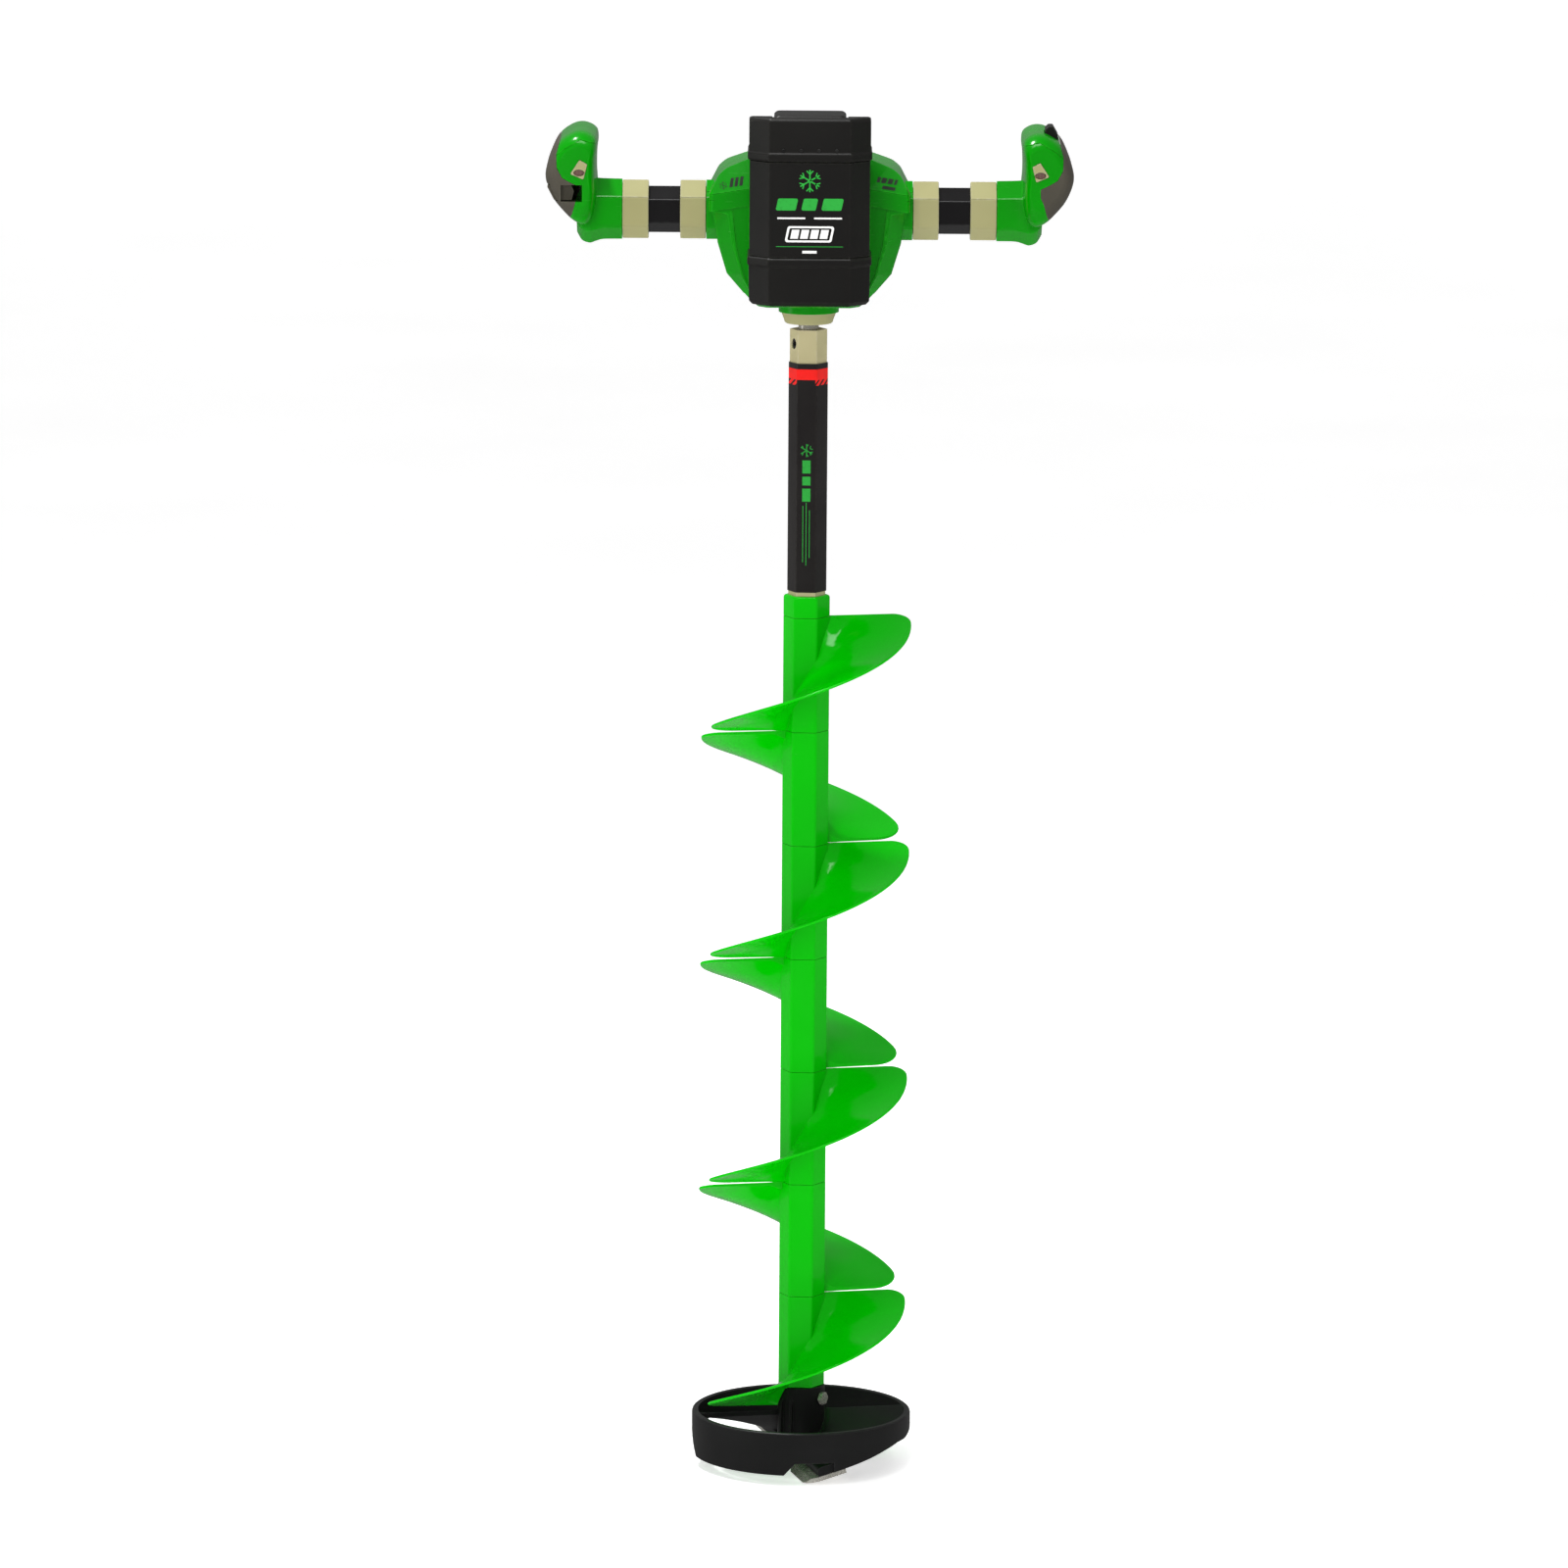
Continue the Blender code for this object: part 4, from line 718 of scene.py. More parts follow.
def guard_ring():
    """The ring round the cutting head, with steps and slopes in its lower edge."""
    azimuths = sorted({-180 + 3 * k for k in range(120)} | {a for a, _ in RING_EDGE if a < 180})
    outer, inner, top = RING_RADIUS, RING_RADIUS - RING_WALL, RING_TOP
    rings = []
    for a in azimuths:
        z = ring_bottom(a)
        profile = (
            (outer - 0.9, z), (outer - 0.25, z + 0.3), (outer, z + 1.0), (outer, top - 2.2),
            (outer - 0.5, top - 0.8), (outer - 1.6, top), (inner + 1.2, top), (inner + 0.3, top - 0.4),
            (inner, top - 1.2), (inner, z + 0.8), (inner + 0.6, z),
        )
        rings.append([polar(a, r, h) for r, h in profile])
    return loft("cutting_head", rings, closed=True)


def ramp(start):
    """A sloping web from a blade up to the screw."""
    rings = []
    steps = 36
    for k in range(steps + 1):
        z = RING_TOP - 0.6 - RAMP_FALL * k / steps
        low = z - RAMP_THICKNESS
        profile = (
            (HUB_RADIUS - 3, z + 2.5), (HUB_RADIUS + 2, z + 0.8), (HUB_RADIUS + 6, z),
            (RING_RADIUS - 9, z), (RING_RADIUS - 4, z + 0.6), (RING_RADIUS - 4, low), (HUB_RADIUS - 3, low),
        )
        rings.append([polar(start - RAMP_SWEEP * k / steps, r, h) for r, h in profile])
    return loft("ramp", rings)


def blade_frame(azimuth):
    """Turns blade coordinates (reach, chord, height) into the auger's."""
    tilt = radians(BLADE_TILT)
    lift = Matrix.Translation((0.0, 0.0, BLADE_LEAD * sin(tilt) + 0.02))
    return Matrix.Rotation(radians(azimuth), 4, "Z") @ lift @ Matrix.Rotation(tilt, 4, "X")


def blade_pad(azimuth):
    """The thick bed that a blade is screwed to."""
    place = blade_frame(azimuth)
    inner, outer = PAD_REACHES
    rings = []
    for chord, high in ((-8.0, 8.3), (-6.8, 10.8), (-4.5, PAD_TOP), (18.5, PAD_TOP), (21.0, PAD_TOP - 1.5)):
        corners = ((inner, BLADE_TOP), (outer, BLADE_TOP), (outer, high), (inner, high))
        rings.append([place @ Vector((r, chord, h)) for r, h in corners])
    return loft("pad", rings)


def screw_places(azimuth):
    """Where a blade's two screws start, and which way they point."""
    place = blade_frame(azimuth)
    axis = place.to_3x3() @ Vector((0.0, 0.0, 1.0))
    return [(place @ Vector((reach, BLADE_SCREW_CHORD, 0.0)), axis) for reach in BLADE_SCREW_REACHES]


def cutting_head():
    """Ring, hub, ramps and blade pads as one moulding."""
    radius = HUB_RADIUS
    hub_levels = ((radius - 1.4, 20.0), (radius, 21.5), (radius, HUB_TOP - 1.2), (radius - 0.8, HUB_TOP))
    hub = loft("hub", [[(*p, z) for p in circle(r, 72)] for r, z in hub_levels])
    ramps = [ramp(start) for start in (FIRST_JOINT, FIRST_JOINT + 180)]
    pads = [blade_pad(azimuth) for azimuth in BLADE_AZIMUTHS]
    ribs = [rib(azimuth) for azimuth in (38, 66, 218, 246)]
    body = join(guard_ring(), hub, *ramps, *pads, *ribs)
    bore = prism("bore", hexagon(TUBE_HEX + GAP, HEX_TURN, 0.6), "Z", 26.7, HUB_TOP + 5)
    pilot = prism("pilot", circle(6.3, 40), "Z", 0, 29)
    bolt = rod("bolt", polar(HUB_BOLT_AZIMUTH, -40, HUB_BOLT_Z), polar(HUB_BOLT_AZIMUTH, 1.0), 80, 3.8)
    holes = [rod("hole", p, axis, 18.0, 2.7) for a in BLADE_AZIMUTHS for p, axis in screw_places(a)]
    settle(cut(body, bore, pilot, bolt, *holes), "blade_carrier")


def rib(azimuth):
    """A low stiffening web on the hub's side, not as far out as the ring."""
    direction, side = polar(azimuth, 1.0), polar(azimuth + 90, 1.2)
    rings = []
    for reach, top in ((20.0, 66.0), (24.0, 58.0), (25.5, 30.0)):
        corners = ((-1, 24.0), (1, 24.0), (1, top), (-1, top))
        rings.append([direction * reach + side * sign + Vector((0, 0, z)) for sign, z in corners])
    return loft("rib", rings)


def socket_screw(node, start, axis, length, radius, head_radius, head_height):
    """A cap screw: rolled head edge and a hexagon socket."""
    side, other = across(axis)
    top = length + head_height

    def rings(outline, levels):
        """The outline at each (radius, height) along the screw."""
        return [[start + axis * h + r * (side * u + other * v) for u, v in outline] for r, h in levels]

    body = loft(f"fine_{node}", rings(circle(1.0, 40), (
        (radius - 0.5, 0.0), (radius, 0.6), (radius, length), (head_radius - 0.3, length),
        (head_radius, length + 0.3), (head_radius, top - 0.7), (head_radius - 0.7, top),
    )))
    socket_radius = 0.5 * head_radius
    socket_floor = length + 0.35 * head_height
    cut(body, loft("socket", rings(hexagon(1.0), ((socket_radius, socket_floor), (socket_radius, top + 1)))))
    settle(body, node)


def blades():
    """Both blades and their screws."""
    number = 1
    for index, azimuth in enumerate(BLADE_AZIMUTHS, 1):
        refined(f"blade_{index}", 0.3, 2)
        for start, axis in screw_places(azimuth):
            socket_screw(f"blade_screw_{number}", start + axis * 0.4, axis, PAD_TOP - 0.1, 2.3, 4.6, 2.6)
            number += 1


# ---------------------------------------------------------------- powerhead

# height, half width, front, back, chamfer of the front corners
HOUSING_SECTIONS = (
    (1084.0, 46.0, -37.0, 48.0, 8.0), (1088.0, 51.0, -43.0, 58.0, 10.0), (1093.0, 55.5, FRONT, 64.0, 12.0),
    (1104.0, 66.0, FRONT, 68.0, 13.5), (1114.0, 74.0, FRONT, 70.0, 13.5), (1142.0, 82.4, FRONT, 72.5, 13.5),
    (1170.5, 86.5, FRONT, 73.0, 13.5), (1172.0, 91.0, FRONT, 74.5, 2.5), (1188.0, 91.0, FRONT, 79.0, 2.5),
    (1204.5, 83.0, FRONT, 68.0, 2.5), (1211.0, 76.0, FRONT, 62.0, 2.5), (1219.4, 55.8, FRONT, 48.0, 2.5),
    (1228.0, 32.0, -38.0, 30.0, 2.5),
)
# distance from the middle and height of the line where the shells part and the shoulders begin
RIDGE_OUTER = (91.0, 1187.5)
RIDGE_INNER = (54.0, 1193.3)
SHOULDER_RISE = 44.0
SHOULDER_LEAN = 19.0
NOSE_TOP = mm_box("nose_ring")[1].z + GAP
BACK_ROUND, FRONT_ROUND = 16.0, 2.5


def plan_ring(z, half, front, back, chamfer, inset=0.0):
    """One level of a shell: an oblong with wide round corners at the back and chamfered ones in front."""
    half, front, back = half - inset, front + inset, back - inset
    flank = front + 1.3 * chamfer
    near = [(-half, flank), (-half + chamfer, front), (half - chamfer, front), (half, flank)]
    corners = [(half, back), (-half, back)] + near
    outline = []
    steps = 8
    for k, radius in enumerate([BACK_ROUND] * 2 + [FRONT_ROUND] * 4):
        arc = rounded([corners[k - 1], corners[k], corners[(k + 1) % 6]], radius, steps)
        outline += arc[steps + 1:2 * steps + 2]
    return [(x, y, z) for x, y in outline]


def ridge_height(x):
    """Height of the ridge line at that distance from the middle."""
    (outer, low), (inner, high) = RIDGE_OUTER, RIDGE_INNER
    return low + (high - low) * (outer - x) / (outer - inner)


def shoulder(side, inset):
    """What is cut away in front of a leaning shoulder."""
    rings = []
    for x in (RIDGE_INNER[0] - 2 - inset, RIDGE_OUTER[0] + 20):
        foot, front = ridge_height(x) - inset / 2, FRONT + inset
        head = foot + SHOULDER_RISE
        section = ((-80.0, foot), (front, foot), (front + SHOULDER_LEAN, head), (-80.0, head))
        rings.append([(side * x, y, z) for y, z in section])
    return loft("shoulder", rings)


def parting_space(gap, far_z):
    """Everything between a level far_z and the parting line, kept gap away from the line."""
    far = 300.0
    (outer, low), (inner, high) = RIDGE_OUTER, RIDGE_INNER
    line = [(-far, low), (-outer, low), (-inner, high), (inner, high), (outer, low), (far, low)]
    return prism("space", [(x, z + gap) for x, z in line] + [(far, far_z), (-far, far_z)], "Y", -far, far)


def eased_sections():
    """The housing's levels with a small round put at each level where the side turns."""
    eased = [HOUSING_SECTIONS[0]]
    for before, here, after in zip(HOUSING_SECTIONS, HOUSING_SECTIONS[1:], HOUSING_SECTIONS[2:]):
        below, above = here[0] - before[0], after[0] - here[0]
        rise = min(2.0, 0.3 * below, 0.3 * above)
        low = lerp(here, before, rise / below)
        high = lerp(here, after, rise / above)
        middle = tuple((a + 2 * b + c) / 4 for a, b, c in zip(low, here, high))
        eased += [low, middle, high]
    eased.append(HOUSING_SECTIONS[-1])
    return eased


def lerp(a, b, share):
    """A row of numbers part of the way from a to b."""
    return tuple(x + (y - x) * share for x, y in zip(a, b))


def side_ribs():
    """Upright ribs on the lower housing's flanks and back, that swell into its shoulder."""
    flank = ((1096.0, 58.4), (1114.0, 74.0), (1142.0, 82.4), (1165.0, 85.7), (1173.5, 89.0))
    back = ((1096.0, 65.1), (1114.0, 70.0), (1142.0, 72.5), (1165.0, 73.0), (1174.0, 74.5))
    section = ((-6.0, -2.0), (0.9, -1.1), (0.9, 1.1), (-6.0, 2.0))
    ribs = []
    for side in (-1, 1):
        for y in (-24.0, 4.0, 32.0, 56.0):
            rings = [[(side * (reach + u), y + v, z) for u, v in section] for z, reach in flank]
            ribs.append(loft("rib", rings))
    for x in (-50.0, -25.0, 0.0, 25.0, 50.0):
        rings = [[(x + v, reach + u, z) for u, v in section] for z, reach in back]
        ribs.append(loft("rib", rings))
    return ribs


def vents(z_low, count):
    """Slots through the back of the shell."""
    slots = []
    for k in range(count):
        outline = bar_shape((k - (count - 1) / 2) * 8.0, z_low + 7.5, 4.0, 15.0)
        slots.append(prism("slot", rounded(outline, 1.8), "Y", 40.0, 90.0))
    return slots


def front_panel(side):
    """The shallow recess under the shell's brow, beside the battery."""
    outline = ((55.0, 1178.3), (95.0, 1171.6), (95.0, 1090.0), (55.0, 1090.0))
    return prism("panel", [(side * x, z) for x, z in outline], "Y", -60.0, FRONT + 1.3)


def front_rib(side):
    """An upright rib down the recess, a little inside its outer edge."""
    rings = []
    for z, x in ((1098.0, 52.0), (1114.0, 60.5), (1142.0, 67.5), (1173.0, 70.7)):
        section = ((x - 1.6, 3.0), (x - 0.9, 0.2), (x + 0.9, 0.2), (x + 1.6, 3.0))
        rings.append([(side * u, FRONT + v, z) for u, v in section])
    return loft("rib", rings)


def housing_block():
    """The whole powerhead shell before it is parted."""
    shell = loft("housing", [plan_ring(*s) for s in eased_sections()])
    cut(shell, *[shoulder(side, 0.0) for side in (-1, 1)], *[front_panel(side) for side in (-1, 1)])
    first, last = HOUSING_SECTIONS[0], HOUSING_SECTIONS[-1]
    nose = prism("nose", circle(27.5, 72), "Z", NOSE_TOP, first[0] + 3)
    join(shell, nose, *side_ribs(), *[front_rib(side) for side in (-1, 1)])
    neck_outline = hexagon(HOUSING_NECK_HEX, 30, 4.0, BAR_AXIS)
    for side in (-1, 1):
        join(shell, prism("neck", neck_outline, "X", *sorted((side * 70.0, side * HOUSING_NECK_END))))
    levels = [(first[0] + SHELL, *first[1:])] + list(HOUSING_SECTIONS[1:-1]) + [(last[0] - SHELL, *last[1:])]
    room = loft("room", [plan_ring(*s, SHELL) for s in levels])
    cut(room, *[shoulder(side, SHELL) for side in (-1, 1)])
    holes = [prism("hole", circle(18.3, 48), "Z", NOSE_TOP + 0.7, NOSE_TOP + 15),
             prism("hole", circle(SHAFT_RADIUS + 1.0, 48), "Z", NOSE_TOP - 10, NOSE_TOP + 5)]
    bar_outline = hexagon(BAR_HEX + GAP, 30, 2.2, BAR_AXIS)
    for side in (-1, 1):
        holes.append(prism("hole", bar_outline, "X", *sorted((side * 60.0, side * 100.0))))
        holes.append(seam_plate((side * HOUSING_NECK_END, side * 86.0), HOUSING_NECK_HEX))
    return cut(shell, room, *holes)


def seam_plate(reach, corner):
    """A fine groove at the seam's height round a hexagonal neck, as the plate to cut away."""
    depth, thick, far = 0.5, 0.35, 60.0
    low, high = sorted(reach)
    plate = block("seam", (low, -far, SEAM_Z - thick / 2), (high, far, SEAM_Z + thick / 2))
    return cut(plate, prism("core", hexagon(corner - depth, 30, 4.0, BAR_AXIS), "X", low - 1, high + 1))


def housing():
    """The powerhead's two shells, with a narrow gap where they part."""
    lower = housing_block()
    lower.name = "housing_shell_lower"
    upper = add("housing_shell_upper", lower.data.copy())
    keep(lower, parting_space(-GAP / 2, 1000.0))
    keep(upper, parting_space(GAP / 2, 1400.0))
    cut(lower, *vents(1118.0, 7))
    settle(lower, "housing_lower")
    settle(upper, "housing_upper")
    shoulder_marks()


def shoulder_place(side):
    """Turns (across, up, out) on a leaning shoulder into the auger's coordinates."""
    middle = 70.0
    run, drop = RIDGE_OUTER[0] - RIDGE_INNER[0], RIDGE_OUTER[1] - RIDGE_INNER[1]
    right = Vector((run, 0.0, side * drop)).normalized()
    out = right.cross(Vector((0.0, SHOULDER_LEAN, SHOULDER_RISE))).normalized()
    return placed(right, out.cross(right), out, (side * middle, FRONT, ridge_height(middle)))


def shoulder_marks():
    """Plain black shapes printed on the two shoulders."""
    left, right = shoulder_place(-1), shoulder_place(1)
    marks = [flake(-7.5, 7.0, 3.6, left, "shoulder_crystal")]
    for k, x in enumerate((0.5, 5.0, 9.5), 1):
        marks.append(raised(f"shoulder_bar_{k}", bar_shape(x, 8.5, 3.0, 8.5, 1.2), left))
    for k, (x, wide) in enumerate(((-9.0, 3.0), (-4.2, 4.6), (1.6, 4.6), (6.6, 2.6)), 1):
        marks.append(raised(f"shoulder_block_{k}", bar_shape(x, 10.8, wide, 5.2, 0.5), right))
    marks.append(raised("shoulder_rule", bar_shape(1.0, 4.3, 12.0, 3.2, 0.3), right))
    print_on("powerhead", "green_plastic", INK_BLACK, marks)


def nose_ring():
    """The cream ring that the shaft comes out of."""
    bore = SHAFT_RADIUS + 1.0
    low, high = (corner.z for corner in mm_box("nose_ring"))
    profile = (
        (bore, high), (bore, low + 0.4), (bore + 0.4, low), (20.4, low), (21.2, low + 0.35),
        (22.0, low + 1.2), (22.8, low + 4.0), (23.8, low + 6.5), (25.0, high - 0.5), (25.0, high),
    )
    settle(turned("fine_nose_ring", profile), "nose_ring")


def bars_and_collars():
    """The handle bars with a collar at each end."""
    collar_outline = hexagon(COLLAR_HEX, 30, 4.0, BAR_AXIS)
    collar_bore = hexagon(BAR_HEX + GAP, 30, 1.5, BAR_AXIS)
    bar_outline = hexagon(BAR_HEX, 30, 1.5, BAR_AXIS)
    bar_bore = hexagon(BAR_HEX - BAR_WALL / cos(pi / 6), 30, 0.8, BAR_AXIS)
    for tag in ("left", "right"):
        for where in ("inner", "outer"):
            node = f"collar_{tag}_{where}"
            low, high = (corner.x for corner in mm_box(node))
            collar = tube(f"fine_{node}", collar_outline, collar_bore, "X", low, high, 0.9)
            settle(cut(collar, seam_plate((low - 1, high + 1), COLLAR_HEX)), node)
        low, high = (corner.x for corner in mm_box(f"bar_{tag}"))
        settle(tube(f"fine_bar_{tag}", bar_outline, bar_bore, "X", low, high, 0.4), f"bar_{tag}")


# ---------------------------------------------------------------- grips

# outlines are pairs of X and Z on the right grip, and the left one mirrors them
GRIP_CENTRE = (212.0, 1207.0)
GRIP_OUTLINE = (
    (194.4, 1203.0), (194.2, 1219.0), (193.0, 1231.0), (195.3, 1239.0), (205.0, 1243.8),
    (216.0, 1242.2), (228.6, 1233.0), (236.2, 1218.0), (239.6, 1206.0), (238.2, 1195.0),
    (232.4, 1182.0), (224.0, 1171.5), (214.0, 1162.0), (204.0, 1158.5), (196.5, 1166.0),
    (193.4, 1184.0),
)
# Y along the grip and the share of the full outline there
GRIP_STATIONS = (
    (-54.0, 0.64), (-51.5, 0.80), (-45.0, 0.93), (-35.0, 0.99), (-20.0, 1.0), (38.0, 1.0),
    (58.0, 0.98), (69.0, 0.90), (75.5, 0.76), (78.0, 0.60),
)
# X, the height of the neck's middle and its corners' distance from it
NECK_STATIONS = (
    (170.4, 1169.3, 28.2), (187.0, 1169.4, 28.5), (194.0, 1168.8, 29.6), (200.0, 1168.4, 31.0),
    (207.0, 1168.6, 28.6), (211.5, 1169.4, 22.0),
)
RUBBER_EDGE = (
    (225.6, 1239.0), (229.6, 1224.0), (229.0, 1212.0), (224.2, 1203.0), (217.3, 1199.0),
    (209.0, 1195.0), (209.2, 1187.0), (212.0, 1181.0), (215.0, 1170.0),
)
RUBBER_OUTSIDE = ((222.0, 1155.0), (262.0, 1155.0), (262.0, 1254.0), (232.0, 1254.0))
BEZEL = ((208.4, 1219.4), (201.4, 1215.4), (204.8, 1201.6), (216.7, 1206.6))
LENS_CENTRE = (208.8, 1207.6)
CAP_LINE = ((186.0, 1231.0), (192.2, 1233.0), (207.6, 1237.3), (222.0, 1229.0), (238.0, 1216.0))
POCKET = (1181.0, 1196.5)  # heights between which the trigger sits
SWITCH_FLOOR = 1235.0


def grip_block(name, side, shrink=0.0, turns=6):
    """The grip's full form. shrink draws it in by that many millimetres."""
    cx, cz = GRIP_CENTRE
    loop = smooth_loop(GRIP_OUTLINE, turns)
    rings = []
    for y, share in between(GRIP_STATIONS, 4):
        share = min(share, 1.0)
        ring = []
        for x, z in loop:
            u, v = (x - cx) * share, (z - cz) * share
            scale = 1 - shrink / hypot(u, v)
            ring.append((side * (cx + u * scale), y + (shrink if y < 0 else -shrink), cz + v * scale))
        rings.append(ring)
    return loft(name, rings)


def rubber_space(side, grow):
    """The room on the grip's outer side that its soft cover fills."""
    edge = [(x + grow, z - grow) for x, z in RUBBER_EDGE]
    return prism("space", [(side * x, z) for x, z in (*edge, *RUBBER_OUTSIDE)], "Y", -90.0, 110.0)


def cap_groove(side):
    """A fine seam round the upper part of the grip, cut to a small depth."""
    thick = 0.28
    line = [(side * x, z) for x, z in CAP_LINE]
    outline = [(x, z - thick) for x, z in line] + [(x, z + thick) for x, z in reversed(line)]
    plate = prism("plate", outline, "Y", -70.0, 95.0)
    return cut(plate, grip_block("core", side, 0.7, 3))


def neck(side):
    """The hexagonal socket that runs out of the grip onto the bar."""
    rings = []
    for x, z, radius in between(NECK_STATIONS, 5):
        rings.append([(side * x, u, v) for u, v in hexagon(radius, 30, 4.5, (0.0, z))])
    return loft("neck", rings)


def oval_ring(side, y, wide, high):
    """A level of the lamp's round seat or lens."""
    cx, cz = LENS_CENTRE
    return [(side * cx + wide * u, y, cz + high * v) for u, v in circle(1.0, 40)]


def bezel_outline(side, share):
    """The lamp bezel's outline, drawn in or let out from its middle."""
    cx = sum(x for x, _ in BEZEL) / len(BEZEL)
    cz = sum(z for _, z in BEZEL) / len(BEZEL)
    return rounded([(side * (cx + (x - cx) * share), cz + (z - cz) * share) for x, z in BEZEL], 1.1)


def lamp(side, tag):
    """The bezel with its sloped seat, and the small lens."""
    bezel = loft(f"fine_lamp_bezel_{tag}", [
        [(x, y, z) for x, z in bezel_outline(side, share)]
        for y, share in ((-50.3, 1.0), (-54.6, 1.0), (-55.0, 0.985), (-55.2, 0.95))])
    seat = loft("seat", [
        oval_ring(side, y, 4.9 + d, 2.9 + d) for y, d in ((-53.0, 0.0), (-54.6, 0.1), (-56.0, 0.9))])
    settle(cut(bezel, seat), f"lamp_bezel_{tag}")
    lens = loft(f"fine_lamp_lens_{tag}", [
        oval_ring(side, y, 4.6 - d, 2.6 - d)
        for y, d in ((-53.3, 0.0), (-54.2, 0.0), (-54.6, 0.5), (-54.85, 1.4))])
    settle(lens, f"lamp_lens_{tag}")


def grip_texture(side):
    """Shallow grooves across the soft cover, for the fingers."""
    cutters = []
    for y in [-28.0 + 8.0 * k for k in range(12)]:
        if side < 0 and y < 2.0:
            continue
        plate = block("plate", (side * 234.0 - 14.0, y - 0.7, 1190.0), (side * 234.0 + 14.0, y + 0.7, 1224.0))
        cutters.append(cut(plate, grip_block("core", side, 0.8, 3)))
    return cutters


def trigger_space():
    """The pocket behind the trigger, the recess in front of it and the hole for its pin."""
    low, high = POCKET
    return (
        block("pocket", (-250.0, -48.0, low), (-206.0, -3.0, high)),
        block("recess", (-225.5, -60.0, low), (-206.0, -47.0, high)),
        prism("hole", circle(1.9, 24, (-219.5, -7.5)), "Z", low - 4.4, high + 4.4),
    )


def handle(side, tag):
    """A grip's hard body with its soft cover, lamp and pockets."""
    body = join(grip_block(f"handle_shell_{tag}", side), neck(side))
    bore_outline = hexagon(BAR_HEX + GAP, 30, 1.5, BAR_AXIS)
    bore = prism("bore", bore_outline, "X", *sorted((side * 160.0, side * 202.5)))
    seat = prism("seat", bezel_outline(side, 1.045), "Y", -70.0, -50.0)
    cut(body, rubber_space(side, -GAP / 2), bore, seat, cap_groove(side))
    cut(body, seam_plate((side * 170.0, side * 192.0), HANDLE_NECK_HEX))
    cover = keep(grip_block(f"grip_cover_{tag}", side), rubber_space(side, GAP / 2))
    cut(cover, *grip_texture(side))
    if side < 0:
        cut(body, *trigger_space())
        cut(cover, *trigger_space())
    else:
        cut(body, block("pocket", (212.5, -26.0, SWITCH_FLOOR), (226.0, 6.0, SWITCH_FLOOR + 24)))
    settle(body, f"handle_{tag}")
    settle(cover, f"grip_{tag}")
    lamp(side, tag)


# ---------------------------------------------------------------- printed marks


def raised(name, outline, place, thickness=0.12):
    """A thin printed shape. place turns (across, up, out) into the auger's coordinates."""
    rings = [[place @ Vector((u, v, w)) for u, v in outline] for w in (0.02, thickness)]
    return loft(name, rings)


def print_on(body, slot, ink, marks):
    """Puts printed marks on a body."""
    for mark in marks:
        detail(mark, body, slot, ink)


def bar_shape(x, z, wide, high, slant=0.0):
    """A bar's outline round its middle, leaning to the right if it slants."""
    left, right, foot, head = x - wide / 2, x + wide / 2, z - high / 2, z + high / 2
    return [(left - slant, foot), (right - slant, foot), (right + slant, head), (left + slant, head)]


def flake_arm(size, angle):
    """The outlines of one arm of an ice crystal and of its two twigs."""
    turn = Matrix.Rotation(radians(angle), 2)
    outlines = [[Vector(p) for p in bar_shape(0, size * 0.5, size * 0.13, size)]]
    for sign in (-1, 1):
        tip, foot = Vector((sign * size * 0.3, size * 0.92)), Vector((0, size * 0.6))
        along = (tip - foot).normalized()
        side = Vector((-along.y, along.x)) * size * 0.055
        outlines.append([foot - side, tip - side, tip + side, foot + side])
    return [[turn @ corner for corner in outline] for outline in outlines]


def flake(x, z, size, place, name):
    """A plain six-armed ice crystal, as one joined shape."""
    body = raised(name, circle(size * 0.16, 12, (x, z)), place)
    arms = [outline for k in range(6) for outline in flake_arm(size, 60 * k)]
    return join(body, *[raised("arm", [(x + u, z + v) for u, v in outline], place) for outline in arms])


def face_place(y):
    """Marks on a face that looks towards -Y."""
    return placed((1, 0, 0), (0, 0, 1), (0, -1, 0), (0, y, 0))


def facet_place(azimuth, distance):
    """Marks on a tube's facet."""
    out = polar(azimuth, 1.0)
    return placed(polar(azimuth + 90, 1.0), (0, 0, 1), out, out * distance)


def battery_marks():
    """A generic ice crystal, bars and a charge gauge on the battery's face."""
    place = face_place(mm_box("battery_case")[0].y)
    gauge_z = 1161.4
    green = [flake(0.0, 1209.5, 10.0, place, "mark_crystal")]
    for k, (x, wide) in enumerate(((-20.5, 18.0), (0.0, 13.0), (20.5, 18.0)), 1):
        green.append(raised(f"mark_bar_{k}", rounded(bar_shape(x, 1188.2, wide, 10.8, 1.2), 1.5), place))
    green.append(raised("mark_line", bar_shape(0, 1150.2, 60.0, 0.5), place))
    white = [raised(f"mark_dash_{k}", bar_shape(x, 1175.8, 25.0, 1.5), place)
             for k, x in enumerate((-16.5, 16.5), 1)]
    gauge = raised("mark_gauge", rounded(bar_shape(0, gauge_z, 42.0, 14.5, 1.5), 2.2), place)
    inside = rounded(bar_shape(0, gauge_z, 38.0, 11.0, 1.2), 1.4)
    white.append(cut(gauge, raised("inside", inside, place @ Matrix.Translation((0, 0, -1)), 3.0)))
    for k in range(4):
        white.append(raised(f"mark_cell_{k + 1}", bar_shape(-13.2 + 8.8 * k, gauge_z, 6.9, 8.1, 0.8), place))
    white.append(raised("mark_foot", bar_shape(0, 1145.3, 13.0, 2.4), place))
    print_on("battery", "black_plastic", INK_GREEN, green)
    print_on("battery", "black_plastic", INK_WHITE, white)


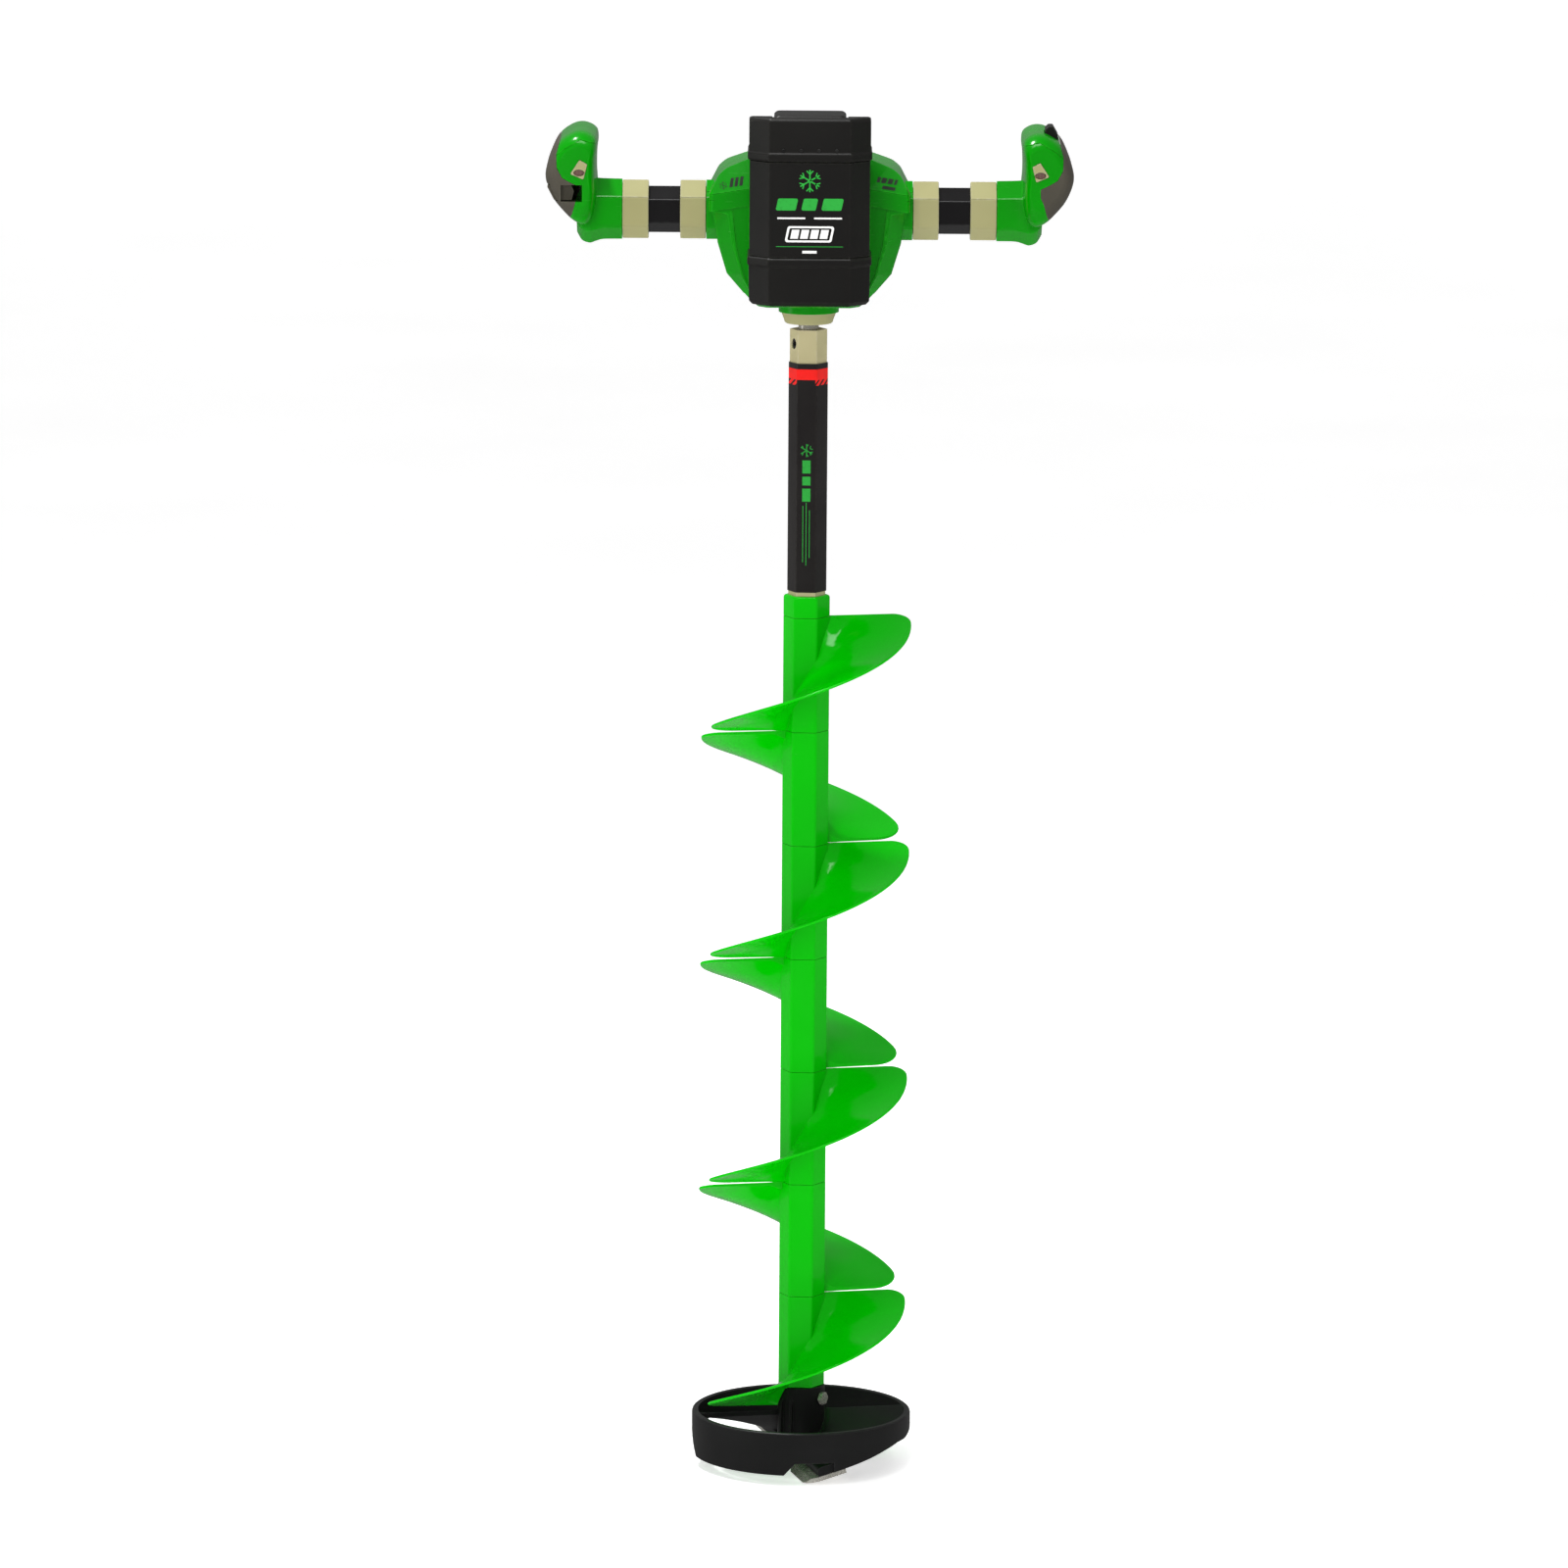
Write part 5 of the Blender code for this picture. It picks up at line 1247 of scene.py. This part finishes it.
def tube_marks():
    """Green marks down the tube's front facet."""
    place = facet_place(266.0, WRAP_HEX * cos(pi / 6))
    marks = [flake(0.0, 950.4, 6.0, place, "tube_crystal")]
    for k, (z, high) in enumerate(((935.3, 12.0), (922.3, 8.0), (909.3, 12.0)), 1):
        marks.append(raised(f"tube_bar_{k}", bar_shape(0.0, z, 7.5, high), place))
    for k, (x, high) in enumerate(((-3.0, 52.0), (0.0, 58.0), (3.0, 44.0)), 1):
        marks.append(raised(f"tube_rule_{k}", bar_shape(x, 873.3, 0.6, high), place))
    print_on("drill", "wrap_black", INK_GREEN, marks)


# ---------------------------------------------------------------- battery and small parts


# the width and the steps of each node's rounded edges
FINE_EDGES = {
    "battery_case": (1.0, 3), "battery_cap_lower": (1.0, 3), "battery_cap_upper": (1.0, 3),
    "battery_latch": (1.0, 3), "battery_mount": (0.5, 2), "terminal_block": (0.4, 2), "trigger": (0.8, 2),
    "direction_switch": (0.7, 2), "hub_bolt": (0.3, 2), "drive_tube": (0.3, 2), "tube_wrap": (0.25, 2),
    "coupler_bolt": (0.3, 2), "gearbox_case": (0.5, 2), "gearbox_cover": (0.4, 2), "motor_can": (0.5, 2),
    "output_shaft": (0.4, 2), "pilot_point": (0.3, 2), "control_board": (0.3, 2),
}


def battery_fixings():
    """Small sunk screws along the two seams."""
    number = 1
    front = mm_box("battery_cap_upper")[0].y + 1.2
    levels = ((1.5, front + 1.5), (1.5, front - 0.75), (1.25, front - 0.95))
    for z in (1236.7, 1136.6):
        for x in (-24.0, -8.0, 8.0, 24.0):
            rings = [[(u, y, v) for u, v in circle(r, 24, (x, z))] for r, y in levels]
            socket = prism("socket", hexagon(0.7, 0, 0, (x, z)), "Y", front - 2.0, front - 0.4)
            head = cut(loft(f"battery_screw_{number}", rings), socket)
            soften(head, 0)
            detail(head, "battery", "dark_steel")
            number += 1


def dress_the_rest():
    """Nodes whose own shape shows get their material."""
    for name, node in frame["nodes"].items():
        if not node.hide_render:
            dress(node, MATERIALS[SLOT_OF[name]])


# ---------------------------------------------------------------- stage


def stage_floor():
    """A pale floor that curves up into a backdrop."""
    depth, width, height, bend = 20.0, 24.0, 11.0, 5.0
    angles = [pi * k / 32 for k in range(17)]
    curve = [(depth - bend + bend * sin(a), bend - bend * cos(a)) for a in angles]
    profile = [(-depth, 0.0), *curve, (depth, height)]
    bm = bmesh.new()
    rows = [[bm.verts.new((x, y, z - 0.0004)) for y, z in profile] for x in (-width, width)]
    for i in range(len(profile) - 1):
        bm.faces.new((rows[0][i], rows[1][i], rows[1][i + 1], rows[0][i + 1]))
    mesh = bpy.data.meshes.new("floor")
    bm.to_mesh(mesh)
    bm.free()
    mesh.shade_smooth()
    floor = add("floor", mesh)
    g = Graph("floor_paint", (0.9, 0.9, 0.9), 0.7)
    color = g.mix(g.span(g.noise(1.5, 3.0), 0.35, 0.65), (0.88, 0.88, 0.88), (0.92, 0.92, 0.92))
    g.set(g.shader, {"Emission Color": (1.0, 1.0, 1.0, 1.0), "Emission Strength": 0.52})
    dress(floor, g.finish(color=color))
    floor.visible_glossy = False


def area_light(name, place, target, size, power):
    """A soft box that faces a target."""
    light = bpy.data.lights.new(name, "AREA")
    light.shape = "RECTANGLE"
    light.size, light.size_y = size
    light.energy = power
    obj = add(name, light)
    obj.location = place
    obj.rotation_euler = (Vector(target) - Vector(place)).to_track_quat("-Z", "Y").to_euler()
    return obj


def lights():
    """Soft boxes in a white room. Glossy surfaces see the room dimmer, so blacks stay deep."""
    middle = (0.0, 0.0, 0.65)
    area_light("top", (-0.9, 0.3, 3.5), middle, (0.3, 0.3), 50.0)
    area_light("near_top", (-0.1, -0.7, 2.3), (0.0, 0.0, 1.2), (0.7, 0.5), 9.0)
    front = area_light("front", (-1.0, -3.4, 1.5), middle, (1.4, 1.8), 34.0)
    back = area_light("back", (0.6, 2.4, 1.8), middle, (1.6, 1.2), 22.0)
    area_light("left", (-2.6, -0.6, 1.1), middle, (0.7, 1.6), 5.0)
    for light in (front, back):
        light.visible_glossy = False
    world = bpy.data.worlds.new("studio")
    bpy.context.scene.world = world
    world.use_nodes = True
    tree = world.node_tree
    rays = tree.nodes.new("ShaderNodeLightPath")
    level = tree.nodes.new("ShaderNodeMapRange")
    level.inputs["To Min"].default_value = 0.46  # seen by matt surfaces
    level.inputs["To Max"].default_value = 0.24  # seen in reflections
    tree.links.new(rays.outputs["Is Glossy Ray"], level.inputs["Value"])
    tree.links.new(level.outputs["Result"], tree.nodes["Background"].inputs["Strength"])
    tree.nodes["Background"].inputs["Color"].default_value = (1.0, 1.0, 1.0, 1.0)
    bpy.context.scene.view_settings.view_transform = "Standard"


def camera():
    """A long lens from ten degrees above, rolled a third of a degree."""
    pitch, roll, yaw = 0.17219, -0.00669, 0.00035
    level = Vector((-sin(yaw), cos(yaw), 0.0))
    forward = level * cos(pitch) - Vector((0, 0, sin(pitch)))
    rise = level * sin(pitch) + Vector((0, 0, cos(pitch)))
    right = Vector((cos(yaw), sin(yaw), 0.0))
    data = bpy.data.cameras.new("camera")
    data.sensor_width = 36.0
    data.lens = 220.73
    data.clip_end = 60.0
    view = add("camera", data)
    view.matrix_world = placed(
        right * cos(roll) - rise * sin(roll), right * sin(roll) + rise * cos(roll), -forward,
        (-0.01663, -8.71499, 2.1542))
    bpy.context.scene.camera = view


camera()
lights()
stage_floor()
screw()
cutting_head()
blades()
housing()
nose_ring()
bars_and_collars()
for handle_side, handle_tag in ((-1, "left"), (1, "right")):
    handle(handle_side, handle_tag)
for fine_node, edge in FINE_EDGES.items():
    refined(fine_node, *edge)
battery_fixings()
battery_marks()
tube_marks()
dress_the_rest()
